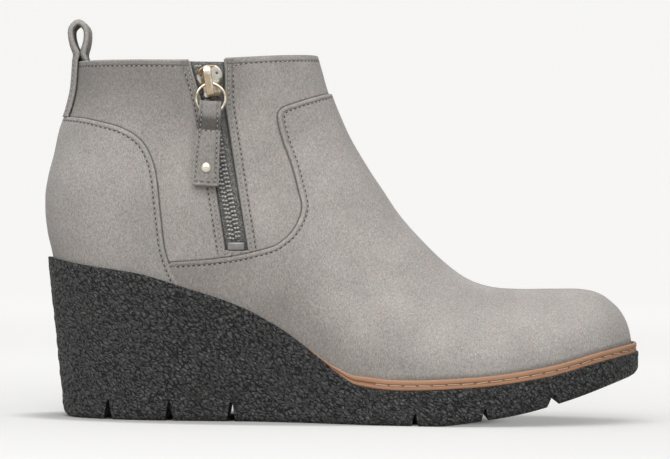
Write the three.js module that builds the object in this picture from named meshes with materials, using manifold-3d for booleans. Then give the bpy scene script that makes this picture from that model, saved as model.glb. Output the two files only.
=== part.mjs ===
// Wedge ankle boot for the right foot: grey suede upper with a side zip, on a dark crepe rubber wedge.
// Millimetres, +Z up. The toe points to +X and the outer side of the foot faces -Y.
import * as THREE from 'three';
import { mergeVertices } from 'three/addons/utils/BufferGeometryUtils.js';
import Module from 'manifold-3d';

const wasm = await Module();
wasm.setup();

// Driving dimensions of the last, the form that the upper is shaped on.
const soleLength = 250;
const ballWidth = 83;
const heelWidth = 58;
const shaftWidth = 59;
const toeBoxHeight = 54.5;
const collarHeight = 151;

// Driving dimensions of the sole.
const heelHeight = 67.1;
const forefootHeight = 14.3;
const toeSpring = 20;
const lipWidth = 2.1;
const cupDepth = 2.5;
const soleEdgeRadius = 3;
const rimEdgeRadius = 0.8;
const heelDraft = 0.12;
const sideDraft = 0.042;
const notchDepth = 8.6;
const notchWidth = 3.4;

// Thicknesses of the upper's layers, and the clearance between pieces that meet.
const wall = 1.8;
const overlayStep = 1.2;
const gap = 0.3;
const insoleThickness = 3;
const weltThickness = 4.4;
const weltInset = 0.8;

// Pull loop on the back of the collar.
const strapWidth = 18;
const strapThickness = 1.4;
const strapTail = 14;
const loopHeight = 16;
const loopOpening = 5.8;

// Zip: tape, coil, stop, slider, ring, leather tab and rivet.
const zipLength = 80;
const zipSlotWidth = 9.6;
const zipMouthWidth = 14.4;
const tapeMargin = 6;
const tapeThickness = 0.8;
const coilWidth = 6.2;
const stopHeight = 3.4;
const stopWidth = 7.2;
const stopRise = 0.3;
const sliderLength = 14.6;
const sliderWidth = 11;
const sliderPlate = 2;
const bridgeLength = 12.6;
const bridgeWidth = 3.2;
const bridgeThickness = 1.2;
const ringRadius = 6;
const ringWire = 1.2;
const tabLength = 35;
const tabTopWidth = 8.8;
const tabEndWidth = 11.3;
const tabThickness = 2.4;
const foldThickness = 0.8;
const rivetDiameter = 4.3;
const rivetShank = 1.8;
const rivetHead = 0.9;

const materials = {
  suede: new THREE.MeshStandardMaterial({ color: 0x918d89, roughness: 0.95, metalness: 0 }),
  rubber: new THREE.MeshStandardMaterial({ color: 0x3c3e3d, roughness: 0.8, metalness: 0 }),
  welt: new THREE.MeshStandardMaterial({ color: 0xb07a4e, roughness: 0.6, metalness: 0 }),
  lining: new THREE.MeshStandardMaterial({ color: 0x6f6a66, roughness: 0.9, metalness: 0 }),
  tape: new THREE.MeshStandardMaterial({ color: 0x56565a, roughness: 0.9, metalness: 0 }),
  coil: new THREE.MeshStandardMaterial({ color: 0x4b4b4f, roughness: 0.5, metalness: 0 }),
  metal: new THREE.MeshStandardMaterial({ color: 0xd8c6a2, roughness: 0.25, metalness: 1 }),
};

// Stations run along the sole: 0 is the back of the heel and 1 is the tip of the toe.
const xAt = (station) => soleLength * (station - 0.5);
const stationOf = (x) => x / soleLength + 0.5;

// A smooth curve without overshoot through one column of a table, read at any value of its key column.
function track(rows, key, column) {
  const steps = rows.slice(1).map((row, i) => row[key] - rows[i][key]);
  const slopes = rows.slice(1).map((row, i) => (row[column] - rows[i][column]) / steps[i]);
  const tangents = rows.map((row, i) => {
    const before = slopes[Math.max(0, i - 1)];
    const after = slopes[Math.min(slopes.length - 1, i)];
    return before * after <= 0 ? 0 : (2 * before * after) / (before + after);
  });
  return (value) => {
    const clamped = Math.min(Math.max(value, rows[0][key]), rows[rows.length - 1][key]);
    let i = 0;
    while (i < steps.length - 1 && clamped > rows[i + 1][key]) {
      i += 1;
    }
    const t = (clamped - rows[i][key]) / steps[i];
    const start = rows[i][column] * (1 + 2 * t) * (1 - t) ** 2;
    const end = rows[i + 1][column] * t * t * (3 - 2 * t);
    const bend = steps[i] * t * (1 - t) * (tangents[i] * (1 - t) - tangents[i + 1] * t);
    return start + end + bend;
  };
}

// Top edge of the sole, seen from the side. wedge is a share of the heel's rise over the forefoot,
// spring is a share of the toe spring.
const soleLineRows = [
  { station: 0, wedge: 1, spring: 0 },
  { station: 0.055, wedge: 0.949, spring: 0 },
  { station: 0.164, wedge: 0.873, spring: 0 },
  { station: 0.227, wedge: 0.788, spring: 0 },
  { station: 0.322, wedge: 0.644, spring: 0 },
  { station: 0.393, wedge: 0.475, spring: 0 },
  { station: 0.455, wedge: 0.267, spring: 0 },
  { station: 0.49, wedge: 0.134, spring: 0 },
  { station: 0.528, wedge: 0.032, spring: 0 },
  { station: 0.593, wedge: 0, spring: 0 },
  { station: 0.708, wedge: 0, spring: 0.07 },
  { station: 0.826, wedge: 0, spring: 0.28 },
  { station: 0.927, wedge: 0, spring: 0.61 },
  { station: 1, wedge: 0, spring: 0.81 },
];
const wedgeShare = track(soleLineRows, 'station', 'wedge');
const lineSpring = track(soleLineRows, 'station', 'spring');
function soleLineAt(x) {
  const rise = (heelHeight - forefootHeight) * wedgeShare(stationOf(x));
  return forefootHeight + rise + toeSpring * lineSpring(stationOf(x));
}
const seatAt = (x) => soleLineAt(x) - cupDepth;

// Underside of the sole: flat from the heel to the ball, then rising to the toe.
const treadRows = [
  { station: 0, spring: 0 },
  { station: 0.65, spring: 0 },
  { station: 0.73, spring: 0.12 },
  { station: 0.79, spring: 0.25 },
  { station: 0.84, spring: 0.41 },
  { station: 0.89, spring: 0.6 },
  { station: 0.96, spring: 0.9 },
  { station: 1, spring: 1.06 },
];
const treadSpring = track(treadRows, 'station', 'spring');
const treadAt = (x) => toeSpring * treadSpring(stationOf(x));

// Ridge of the last, from the tip of the toe up the instep to above the collar. toe is a share of the
// toe box height, shaft a share of the rise from the toe box to the collar.
const ridgeRows = [
  { station: 0.99, toe: 0.366, shaft: 0 },
  { station: 0.9864, toe: 0.513, shaft: 0 },
  { station: 0.9832, toe: 0.623, shaft: 0 },
  { station: 0.9788, toe: 0.723, shaft: 0 },
  { station: 0.9712, toe: 0.808, shaft: 0 },
  { station: 0.9576, toe: 0.89, shaft: 0 },
  { station: 0.932, toe: 0.973, shaft: 0 },
  { station: 0.9, toe: 1.005, shaft: 0 },
  { station: 0.852, toe: 1.004, shaft: 0 },
  { station: 0.798, toe: 0.998, shaft: 0 },
  { station: 0.75, toe: 1, shaft: 0.009 },
  { station: 0.7084, toe: 1, shaft: 0.046 },
  { station: 0.6672, toe: 1, shaft: 0.122 },
  { station: 0.626, toe: 1, shaft: 0.221 },
  { station: 0.5912, toe: 1, shaft: 0.319 },
  { station: 0.5636, toe: 1, shaft: 0.418 },
  { station: 0.536, toe: 1, shaft: 0.519 },
  { station: 0.5076, toe: 1, shaft: 0.645 },
  { station: 0.486, toe: 1, shaft: 0.767 },
  { station: 0.4696, toe: 1, shaft: 0.874 },
  { station: 0.4592, toe: 1, shaft: 0.96 },
  { station: 0.452, toe: 1, shaft: 1.021 },
  { station: 0.444, toe: 1, shaft: 1.085 },
];
const ridgeHeight = (row) => toeBoxHeight * row.toe + (collarHeight - toeBoxHeight) * row.shaft;
const ridge = new THREE.SplineCurve(
  ridgeRows.map((row) => new THREE.Vector2(xAt(row.station), ridgeHeight(row))),
);
const ridgeSteps = 400;
ridge.arcLengthDivisions = ridgeSteps;
const ridgePoints = ridge.getSpacedPoints(ridgeSteps);

// Back of the last, seen from the side. height is a share of the collar height.
const backRows = [
  { height: 0.35, station: 0.0264 },
  { height: 0.42, station: 0.018 },
  { height: 0.465, station: 0.0124 },
  { height: 0.51, station: 0.006 },
  { height: 0.57, station: 0.0016 },
  { height: 0.61, station: 0.0012 },
  { height: 0.665, station: 0.0056 },
  { height: 0.73, station: 0.0152 },
  { height: 0.795, station: 0.0228 },
  { height: 0.86, station: 0.0356 },
  { height: 0.92, station: 0.0428 },
  { height: 1, station: 0.0456 },
  { height: 1.1, station: 0.048 },
];
const backStation = track(backRows, 'height', 'station');
const backAt = (z) => xAt(backStation(z / collarHeight));

// Half widths of the foot to each side of its middle line. forefoot mixes the heel width (0) and the
// ball width (1); outer and inner are shares of that width; lean moves the middle line to the inner side.
const planRows = [
  { station: 0, forefoot: 0, outer: 0.5, inner: 0.5, lean: 0 },
  { station: 0.18, forefoot: 0, outer: 0.5, inner: 0.5, lean: 0 },
  { station: 0.33, forefoot: 0, outer: 0.475, inner: 0.46, lean: 0 },
  { station: 0.42, forefoot: 0.35, outer: 0.455, inner: 0.39, lean: 0 },
  { station: 0.5, forefoot: 0.7, outer: 0.475, inner: 0.375, lean: 0 },
  { station: 0.58, forefoot: 1, outer: 0.51, inner: 0.405, lean: 0 },
  { station: 0.66, forefoot: 1, outer: 0.538, inner: 0.462, lean: 0 },
  { station: 0.74, forefoot: 1, outer: 0.532, inner: 0.478, lean: 0.006 },
  { station: 0.87, forefoot: 1, outer: 0.52, inner: 0.47, lean: 0.03 },
  { station: 1, forefoot: 1, outer: 0.51, inner: 0.46, lean: 0.062 },
];
const forefootShare = track(planRows, 'station', 'forefoot');
const planShare = { outer: track(planRows, 'station', 'outer'), inner: track(planRows, 'station', 'inner') };
const leanShare = track(planRows, 'station', 'lean');
const middleAt = (x) => ballWidth * leanShare(stationOf(x));

// The shaft's half width as it rises over the ankle. height is a share of the collar height.
const shaftRows = [
  { height: 0.45, width: 0.5 },
  { height: 0.62, width: 0.5 },
  { height: 0.76, width: 0.482 },
  { height: 0.9, width: 0.492 },
  { height: 1, width: 0.5 },
];
const shaftShare = track(shaftRows, 'height', 'width');

// Cross sections by their place along the ridge. widest is how far down the section reaches its full
// width, crown rounds its top (2 is an ellipse, 1 a parabola), and tuck draws it in towards the sole.
const sectionRows = [
  { along: 0, widest: 0.6, crown: 2.2, tuck: 0.1 },
  { along: 0.2, widest: 0.55, crown: 2.2, tuck: 0.1 },
  { along: 0.36, widest: 0.56, crown: 2, tuck: 0.08 },
  { along: 0.5, widest: 0.64, crown: 1.6, tuck: 0.05 },
  { along: 0.64, widest: 0.66, crown: 1.45, tuck: 0.03 },
  { along: 0.8, widest: 0.52, crown: 1.6, tuck: 0 },
  { along: 1, widest: 0.45, crown: 1.8, tuck: 0 },
];
const widestShare = track(sectionRows, 'along', 'widest');
const crownPower = track(sectionRows, 'along', 'crown');
const tuckShare = track(sectionRows, 'along', 'tuck');

// Round ends of the foot in plan: how far in from the heel and the toe the full width is reached.
const heelRound = { reach: 0.18, power: 2.1 };
const toeRound = { reach: 0.32, power: 2.2 };
const roundEnd = (depth, power) => Math.sqrt(Math.max(0, 1 - (1 - Math.min(1, Math.max(0, depth))) ** power));

// Sections ahead of the ankle are upright. Behind it they fan about a line in front of the collar.
const fanPlace = { station: 0.628, height: 1.013 };
const fan = new THREE.Vector2(xAt(fanPlace.station), collarHeight * fanPlace.height);
const rootDepth = 12;
const rootAt = (x) => seatAt(x) - rootDepth;
const lastTip = xAt(ridgeRows[0].station);

function ridgeAt(along) {
  const place = along * ridgeSteps;
  const i = Math.min(ridgeSteps - 1, Math.floor(place));
  return ridgePoints[i].clone().lerp(ridgePoints[i + 1], place - i);
}

// A section is a plane through the ridge, with its direction and its reach down to the root or the back.
function sectionAt(along) {
  const top = ridgeAt(along);
  const direction = new THREE.Vector2(0, -1);
  if (top.x < fan.x) {
    direction.copy(top).sub(fan).normalize();
  }
  const inside = (reach) => {
    const x = top.x + direction.x * reach;
    const z = top.y + direction.y * reach;
    return z > rootAt(x) && x > backAt(z);
  };
  let low = 0;
  let high = soleLength;
  for (let step = 0; step < 40; step += 1) {
    const middle = (low + high) / 2;
    if (inside(middle)) {
      low = middle;
    } else {
      high = middle;
    }
  }
  return { along, top, direction, reach: low };
}

// Heights over the sole's top edge between which the foot's width passes into the shaft's.
const ankleBlend = { low: 10, high: 50 };

// Half width of the last at a share of the way down a section, on the outer or the inner side.
function halfWidthAt(section, share, side) {
  const x = section.top.x + section.direction.x * section.reach * share;
  const z = section.top.y + section.direction.y * section.reach * share;
  const width = THREE.MathUtils.lerp(heelWidth, ballWidth, forefootShare(stationOf(x)));
  const foot = width * planShare[side](stationOf(x));
  const shaft = shaftWidth * shaftShare(z / collarHeight);
  const climb = THREE.MathUtils.smoothstep(z - soleLineAt(x), ankleBlend.low, ankleBlend.high);
  const full = THREE.MathUtils.lerp(foot, shaft, climb);
  const widest = widestShare(section.along);
  const crown = roundEnd(share / widest, crownPower(section.along));
  const low = Math.max(0, (share - widest) / (1 - widest));
  const tuck = 1 - tuckShare(section.along) * low * low;
  const heel = roundEnd((x - backAt(z)) / (soleLength * heelRound.reach), heelRound.power);
  const toe = roundEnd((lastTip - x) / (soleLength * toeRound.reach), toeRound.power);
  return full * crown * tuck * heel * toe;
}

// The section that passes through a point of the side view, and the point's share of the way down it.
function sectionThrough(x, z) {
  const before = (point) => {
    if (point.x >= fan.x || x >= fan.x) {
      return point.x > x;
    }
    return (point.x - fan.x) * (z - fan.y) - (point.y - fan.y) * (x - fan.x) < 0;
  };
  let low = 0;
  let high = 1;
  for (let step = 0; step < 30; step += 1) {
    const middle = (low + high) / 2;
    if (before(ridgeAt(middle))) {
      low = middle;
    } else {
      high = middle;
    }
  }
  const section = sectionAt(low);
  const depth = Math.hypot(x - section.top.x, z - section.top.y);
  return { section, share: Math.min(1, depth / section.reach) };
}
const sideSign = { outer: -1, inner: 1 };
function surfaceY(x, z, side) {
  const { section, share } = sectionThrough(x, z);
  return middleAt(x) + sideSign[side] * halfWidthAt(section, share, side);
}

// Closed triangle mesh from shared positions, without the triangles that merging made flat.
function closedGeometry(positions, index) {
  const geometry = new THREE.BufferGeometry();
  geometry.setAttribute('position', new THREE.Float32BufferAttribute(positions, 3));
  geometry.setIndex(index);
  const merged = mergeVertices(geometry, 1e-3);
  const old = merged.index.array;
  const kept = [];
  for (let i = 0; i < old.length; i += 3) {
    if (old[i] !== old[i + 1] && old[i + 1] !== old[i + 2] && old[i] !== old[i + 2]) {
      kept.push(old[i], old[i + 1], old[i + 2]);
    }
  }
  merged.setIndex(kept);
  return merged;
}

// Grid faces between neighbouring rows of equal length.
function addBand(index, first, second, count, closed) {
  const last = closed ? count : count - 1;
  for (let j = 0; j < last; j += 1) {
    const next = (j + 1) % count;
    index.push(first + j, second + j, second + next, first + j, second + next, first + next);
  }
}

// The last as one closed form: each section runs from its outer root over the ridge to its inner root.
const toeSteps = 13;
const fanSteps = 22;
const sectionCount = toeSteps + fanSteps;
const sideSteps = 12;
const fanStart = ridgePoints.findIndex((point) => point.x < fan.x) / ridgeSteps;
function sectionPlace(i) {
  if (i < toeSteps) {
    return (fanStart * i) / toeSteps;
  }
  return fanStart + ((1 - fanStart) * (i - toeSteps)) / fanSteps;
}
function lastGeometry() {
  const positions = [];
  const index = [];
  const perSection = 2 * sideSteps + 1;
  for (let i = 0; i <= sectionCount; i += 1) {
    const section = sectionAt(sectionPlace(i));
    for (let j = -sideSteps; j <= sideSteps; j += 1) {
      const share = (1 - Math.cos((Math.PI * Math.abs(j)) / sideSteps)) / 2;
      const side = j < 0 ? 'outer' : 'inner';
      const x = section.top.x + section.direction.x * section.reach * share;
      const z = section.top.y + section.direction.y * section.reach * share;
      positions.push(x, middleAt(x) + sideSign[side] * halfWidthAt(section, share, side), z);
    }
  }
  for (let i = 0; i < sectionCount; i += 1) {
    const first = i * perSection;
    const second = first + perSection;
    addBand(index, second, first, perSection, false);
    const ends = [first, first + perSection - 1, second, second + perSection - 1];
    index.push(ends[0], ends[3], ends[1], ends[0], ends[2], ends[3]);
  }
  const top = sectionCount * perSection;
  for (let j = 0; j < sideSteps; j += 1) {
    const left = [top + j, top + j + 1];
    const right = [top + perSection - 1 - j, top + perSection - 2 - j];
    index.push(left[0], right[1], right[0], left[0], left[1], right[1]);
  }
  return closedGeometry(positions, index);
}

function solidOf(geometry) {
  const bare = geometry.clone();
  bare.deleteAttribute('normal');
  bare.deleteAttribute('uv');
  const merged = mergeVertices(bare, 1e-3);
  const triangles = new Uint32Array(merged.index.array);
  const vertices = merged.attributes.position.array;
  return new wasm.Manifold(new wasm.Mesh({ numProp: 3, vertProperties: vertices, triVerts: triangles }));
}
function geometryOf(solid) {
  const mesh = solid.getMesh();
  const geometry = new THREE.BufferGeometry();
  geometry.setAttribute('position', new THREE.BufferAttribute(mesh.vertProperties, 3));
  geometry.setIndex(new THREE.BufferAttribute(mesh.triVerts, 1));
  return geometry;
}

// The last with its surface moved outwards by a distance, or inwards where that is negative.
const lastBase = lastGeometry();
lastBase.computeVertexNormals();
function lastForm(distance) {
  const moved = lastBase.clone();
  const place = moved.attributes.position;
  const normal = moved.attributes.normal;
  for (let i = 0; i < place.count; i += 1) {
    const point = new THREE.Vector3().fromBufferAttribute(place, i);
    point.addScaledVector(new THREE.Vector3().fromBufferAttribute(normal, i), distance);
    place.setXYZ(i, point.x, point.y, point.z);
  }
  return solidOf(moved);
}
const shell = (outside, inside) => lastForm(outside).subtract(lastForm(inside));

// A region of the side view, carried straight through across the foot.
const beyond = 100;
function sideRegion(points, from = -beyond, to = beyond) {
  const outline = new THREE.Shape(points.map((point) => new THREE.Vector2(point[0], point[1])));
  const geometry = new THREE.ExtrudeGeometry(outline, { depth: to - from, bevelEnabled: false });
  geometry.rotateX(Math.PI / 2);
  geometry.translate(0, to, 0);
  return solidOf(geometry);
}

// Everything above a curve of the side view.
const regionEnds = { back: -0.06, front: 1.06 };
const regionSteps = 56;
function regionAbove(heightAt) {
  const points = [];
  for (let i = 0; i <= regionSteps; i += 1) {
    const x = xAt(THREE.MathUtils.lerp(regionEnds.back, regionEnds.front, i / regionSteps));
    points.push([x, heightAt(x)]);
  }
  points.push([xAt(regionEnds.front), 2 * collarHeight], [xAt(regionEnds.back), 2 * collarHeight]);
  return sideRegion(points);
}
const aboveSeat = (distance) => regionAbove((x) => seatAt(x) + distance);

// Collar edge: it rises a little from the back to the front.
const collarRows = [
  { station: 0, height: 0.987 },
  { station: 0.2, height: 0.987 },
  { station: 0.45, height: 1.013 },
];
const collarShare = track(collarRows, 'station', 'height');
const collarAt = (x) => collarHeight * collarShare(stationOf(x));

// Edges of the two overlays in the side view, as stations and shares of the collar height.
const counterEdge = [
  { station: -0.04, height: 0.834 },
  { station: 0.048, height: 0.828 },
  { station: 0.093, height: 0.815 },
  { station: 0.134, height: 0.795 },
  { station: 0.166, height: 0.757 },
  { station: 0.186, height: 0.684 },
  { station: 0.196, height: 0.56 },
  { station: 0.205, height: 0.46 },
  { station: 0.226, height: 0.374 },
  { station: 0.26, height: 0.28 },
];
const vampEdge = [
  { station: 0.55, height: 0.925 },
  { station: 0.478, height: 0.908 },
  { station: 0.409, height: 0.871 },
  { station: 0.391, height: 0.855 },
  { station: 0.387, height: 0.832 },
  { station: 0.395, height: 0.777 },
  { station: 0.412, height: 0.703 },
  { station: 0.424, height: 0.635 },
  { station: 0.43, height: 0.586 },
  { station: 0.42, height: 0.536 },
  { station: 0.401, height: 0.498 },
  { station: 0.37, height: 0.472 },
  { station: 0.28, height: 0.442 },
  { station: 0.1, height: 0.42 },
];
function edgeCurve(rows, steps) {
  const points = rows.map((row) => new THREE.Vector2(xAt(row.station), collarHeight * row.height));
  return new THREE.SplineCurve(points).getPoints(steps).map((point) => [point.x, point.y]);
}
function counterRegion(margin) {
  const edge = edgeCurve(counterEdge, 30).map(([x, z]) => [x + margin, z + margin]);
  return sideRegion([...edge, [xAt(counterEdge[0].station), 0]].reverse());
}
function vampRegion() {
  const edge = edgeCurve(vampEdge, 36);
  const back = xAt(vampEdge[vampEdge.length - 1].station);
  const front = xAt(regionEnds.front);
  return sideRegion([...edge, [back, 0], [front, 0], [front, collarHeight * vampEdge[0].height]]);
}

// Zip line in the side view: it starts just below the collar and leans forward on its way down.
const zipStation = 0.3232;
const zipCollarDrop = 1;
const zipTop = collarHeight - zipCollarDrop;
const zipFoot = new THREE.Vector2(xAt(zipStation), zipTop - zipLength);
const zipLean = 0.169;
const zipX = (z) => zipFoot.x - (z - zipFoot.y) * zipLean;
function zipStrip(halfWidthAtHeight, low, high, steps = 10) {
  const left = [];
  const right = [];
  for (let i = 0; i <= steps; i += 1) {
    const z = THREE.MathUtils.lerp(low, high, i / steps);
    left.push([zipX(z) - halfWidthAtHeight(z), z]);
    right.push([zipX(z) + halfWidthAtHeight(z), z]);
  }
  return sideRegion([...left, ...right.reverse()].reverse(), -beyond, 0);
}
const pastCollar = 10;
const mouthDepth = 22;
function slotHalfWidth(z) {
  const open = THREE.MathUtils.smoothstep(z, zipTop - mouthDepth, zipTop);
  return THREE.MathUtils.lerp(zipSlotWidth, zipMouthWidth, open) / 2;
}

// Upper: the last's form with a real wall and the vamp standing a step proud, open at collar and sole.
function makeUpper() {
  const vamp = lastForm(overlayStep).intersect(vampRegion()).subtract(counterRegion(gap));
  const outside = lastForm(0).add(vamp);
  const slot = zipStrip(slotHalfWidth, zipFoot.y, zipTop + pastCollar);
  return outside
    .subtract(lastForm(-wall))
    .intersect(aboveSeat(gap))
    .subtract(regionAbove(collarAt))
    .subtract(slot);
}

function makeCounter() {
  return shell(overlayStep, gap).intersect(counterRegion(0)).intersect(aboveSeat(gap));
}

function makeInsole() {
  return lastForm(-wall - gap).intersect(aboveSeat(gap)).subtract(aboveSeat(gap + insoleThickness));
}

// Outline of the upper in plan where it meets the sole, with the plan direction that faces out.
const outlineSteps = 30;
function planOutline() {
  const front = ridgePoints.find((point) => point.y > soleLineAt(point.x)).x;
  const backX = backAt(soleLineAt(xAt(0)));
  const place = (i, side) => {
    const x = THREE.MathUtils.lerp(backX, front, (1 - Math.cos((Math.PI * i) / outlineSteps)) / 2);
    const end = i === 0 || i === outlineSteps;
    return new THREE.Vector2(x, end ? middleAt(x) : surfaceY(x, soleLineAt(x), side));
  };
  const points = [];
  for (let i = 0; i <= outlineSteps; i += 1) {
    points.push(place(i, 'outer'));
  }
  for (let i = outlineSteps - 1; i > 0; i -= 1) {
    points.push(place(i, 'inner'));
  }
  return points.map((point, i) => {
    const before = points[(i + points.length - 1) % points.length];
    const after = points[(i + 1) % points.length];
    const along = after.clone().sub(before).normalize();
    return { point, out: new THREE.Vector2(along.y, -along.x) };
  });
}
const outline = planOutline();

// A body that follows the plan outline through levels, each with its height and its distance outwards.
function outlineBody(levels, first = 0) {
  const rings = outline.length;
  const used = outline.map((entry, i) => i).filter((i) => Math.min(i, rings - i) >= first);
  const positions = [];
  const index = [];
  for (const level of levels) {
    for (const i of used) {
      const { point, out } = outline[i];
      const grown = point.clone().addScaledVector(out, level.out(point.x, out));
      positions.push(grown.x, grown.y, level.height(grown.x, point.x, out));
    }
  }
  const count = used.length;
  for (let k = 0; k < levels.length - 1; k += 1) {
    addBand(index, (k + 1) * count, k * count, count, true);
  }
  const capSteps = Math.floor(count / 2);
  for (const [start, flip] of [[0, false], [(levels.length - 1) * count, true]]) {
    for (let i = 0; i < capSteps; i += 1) {
      const near = [i, i + 1];
      const far = first === 0 ? [(count - i) % count, count - i - 1] : [count - 1 - i, count - 2 - i];
      const quad = [near[0], near[1], far[1], far[0]].map((corner) => corner + start);
      const order = flip ? [0, 1, 2, 0, 2, 3] : [0, 2, 1, 0, 3, 2];
      index.push(...order.map((corner) => quad[corner]));
    }
  }
  return closedGeometry(positions, index);
}

// Sole: a wedge that tapers down from its rim, with a cup for the upper and notches across its tread.
const rimOut = overlayStep + gap + lipWidth;
function draftAt(x, out) {
  const fade = 1 - THREE.MathUtils.smoothstep(stationOf(x), 0.35, 0.6);
  return fade * (sideDraft + (heelDraft - sideDraft) * Math.max(0, -out.x));
}
const notchRows = [
  { station: 0.1124, depth: 1, width: 1 },
  { station: 0.2148, depth: 1, width: 1 },
  { station: 0.3168, depth: 1, width: 1 },
  { station: 0.6188, depth: 0.62, width: 0.75 },
  { station: 0.7332, depth: 0.6, width: 0.8 },
  { station: 0.8472, depth: 0.55, width: 1.35 },
];
const notchApex = 0.3;
function notchSolid(row) {
  const x = xAt(row.station);
  const floor = treadAt(x);
  const half = (notchWidth * row.width) / 2;
  const apex = half * notchApex;
  const depth = notchDepth * row.depth;
  return sideRegion([
    [x - 2 * half + apex, floor - depth],
    [x + 2 * half - apex, floor - depth],
    [x + apex, floor + depth],
    [x - apex, floor + depth],
  ]);
}
function makeSole() {
  const shrink = (x, out, z) => draftAt(x, out) * Math.max(0, soleLineAt(x) - z);
  const atTop = (drop, inset) => ({
    out: (x, out) => rimOut - inset - shrink(x, out, soleLineAt(x) - drop),
    height: (x) => soleLineAt(x) - drop,
  });
  const atTread = (rise, inset) => ({
    out: (x, out) => rimOut - inset - shrink(x, out, treadAt(x) + rise),
    height: (x) => treadAt(x) + rise,
  });
  const corner = 1 - Math.SQRT1_2;
  const middle = {
    out: (x, out) => rimOut - shrink(x, out, (soleLineAt(x) + treadAt(x)) / 2),
    height: (x) => (soleLineAt(x) + treadAt(x)) / 2,
  };
  const body = outlineBody([
    atTread(0, soleEdgeRadius),
    atTread(soleEdgeRadius * corner, soleEdgeRadius * corner),
    atTread(soleEdgeRadius, 0),
    middle,
    atTop(rimEdgeRadius, 0),
    atTop(rimEdgeRadius * corner, rimEdgeRadius * corner),
    atTop(0, rimEdgeRadius),
  ]);
  const cup = lastForm(overlayStep + gap).intersect(aboveSeat(0));
  return notchRows.reduce((sole, row) => sole.subtract(notchSolid(row)), solidOf(body).subtract(cup));
}

// Welt: a strip on the sole's rim around the forefoot, thinning to nothing at both waists.
const weltStart = { station: 0.47, full: 0.56 };
const weltBevel = 0.4;
function makeWelt() {
  const first = outline.findIndex((entry) => stationOf(entry.point.x) > weltStart.station);
  const thicknessAt = (x) => {
    const fade = THREE.MathUtils.smoothstep(stationOf(x), weltStart.station, weltStart.full);
    return THREE.MathUtils.lerp(gap, weltThickness - gap, fade);
  };
  const edge = rimOut - weltInset;
  const bevelAt = (x) => Math.min(weltBevel, thicknessAt(x) / 2);
  const body = outlineBody([
    { out: () => edge, height: (x) => soleLineAt(x) + gap },
    { out: () => edge, height: (x) => soleLineAt(x) + gap + thicknessAt(x) - bevelAt(x) },
    { out: () => edge - weltBevel, height: (x) => soleLineAt(x) + gap + thicknessAt(x) },
  ], first);
  return solidOf(body).subtract(lastForm(overlayStep + gap));
}

// The loop's middle line from the outer leg to the inner one: height is a share of the loop's height,
// and spread is a share of how far the loop opens beyond its legs.
const loopRows = [
  { leg: 'out', spread: 0, height: 0 },
  { leg: 'out', spread: 0.6, height: 0.3 },
  { leg: 'out', spread: 1, height: 0.62 },
  { leg: 'out', spread: 0.3, height: 0.92 },
  { leg: 'middle', spread: 0, height: 1 },
  { leg: 'in', spread: 0.4, height: 0.92 },
  { leg: 'in', spread: 1, height: 0.62 },
  { leg: 'in', spread: 0.5, height: 0.3 },
  { leg: 'in', spread: 0, height: 0 },
];
const loopFlatness = 0.85;
const loopJoin = 2;

// Pull loop: a strap up the back, over in a loop above the collar and down inside the lining.
function backDepth(y) {
  const half = shaftWidth * shaftShare(1);
  const share = 1 - (Math.abs(y) / half) ** 2;
  return soleLength * heelRound.reach * (1 - share ** (1 / heelRound.power));
}
function makePullLoop() {
  const collarZ = collarAt(xAt(0));
  const counterTop = collarHeight * counterEdge[1].height;
  const half = strapWidth / 2;
  const back = xAt(regionEnds.back);
  const front = xAt(heelRound.reach);
  const strapBox = (low, high) => sideRegion([
    [back, low],
    [front, low],
    [front, high],
    [back, high],
  ], -half, half);
  const outside = shell(gap + strapThickness, gap)
    .intersect(strapBox(counterTop + 2 * gap, collarZ + loopJoin));
  const inside = shell(-wall - gap, -wall - gap - strapThickness)
    .intersect(strapBox(collarZ - strapTail, collarZ + loopJoin));
  const legOut = backAt(collarZ) - gap - strapThickness / 2;
  const legIn = backAt(collarZ) + wall + gap + strapThickness / 2;
  const spread = (loopOpening + strapThickness - (legIn - legOut)) / 2;
  const base = collarZ + gap;
  const legs = { out: [legOut, -spread], middle: [(legOut + legIn) / 2, 0], in: [legIn, spread] };
  const path = new THREE.SplineCurve(loopRows.map((row) => {
    const [leg, opening] = legs[row.leg];
    return new THREE.Vector2(leg + opening * row.spread, base + loopHeight * row.height);
  }));
  const steps = 22;
  const acrossSteps = 6;
  const positions = [];
  const index = [];
  for (let i = 0; i <= steps; i += 1) {
    const point = path.getPointAt(i / steps);
    const tangent = path.getTangentAt(i / steps);
    const fade = 1 - loopFlatness * Math.sin((Math.PI * i) / steps);
    for (const face of [1, -1]) {
      for (let j = 0; j <= acrossSteps; j += 1) {
        const y = half * face * ((2 * j) / acrossSteps - 1);
        const offset = (face * strapThickness) / 2;
        const x = point.x - tangent.y * offset + backDepth(y) * fade;
        positions.push(x, y, point.y + tangent.x * offset);
      }
    }
  }
  const count = 2 * (acrossSteps + 1);
  for (let i = 0; i < steps; i += 1) {
    addBand(index, i * count, (i + 1) * count, count, true);
  }
  for (const [start, flip] of [[0, true], [steps * count, false]]) {
    for (let j = 0; j < acrossSteps; j += 1) {
      const quad = [j, j + 1, count - 2 - j, count - 1 - j].map((corner) => corner + start);
      const order = flip ? [0, 1, 2, 0, 2, 3] : [0, 2, 1, 0, 3, 2];
      index.push(...order.map((corner) => quad[corner]));
    }
  }
  return solidOf(closedGeometry(positions, index)).add(outside).add(inside);
}

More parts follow.
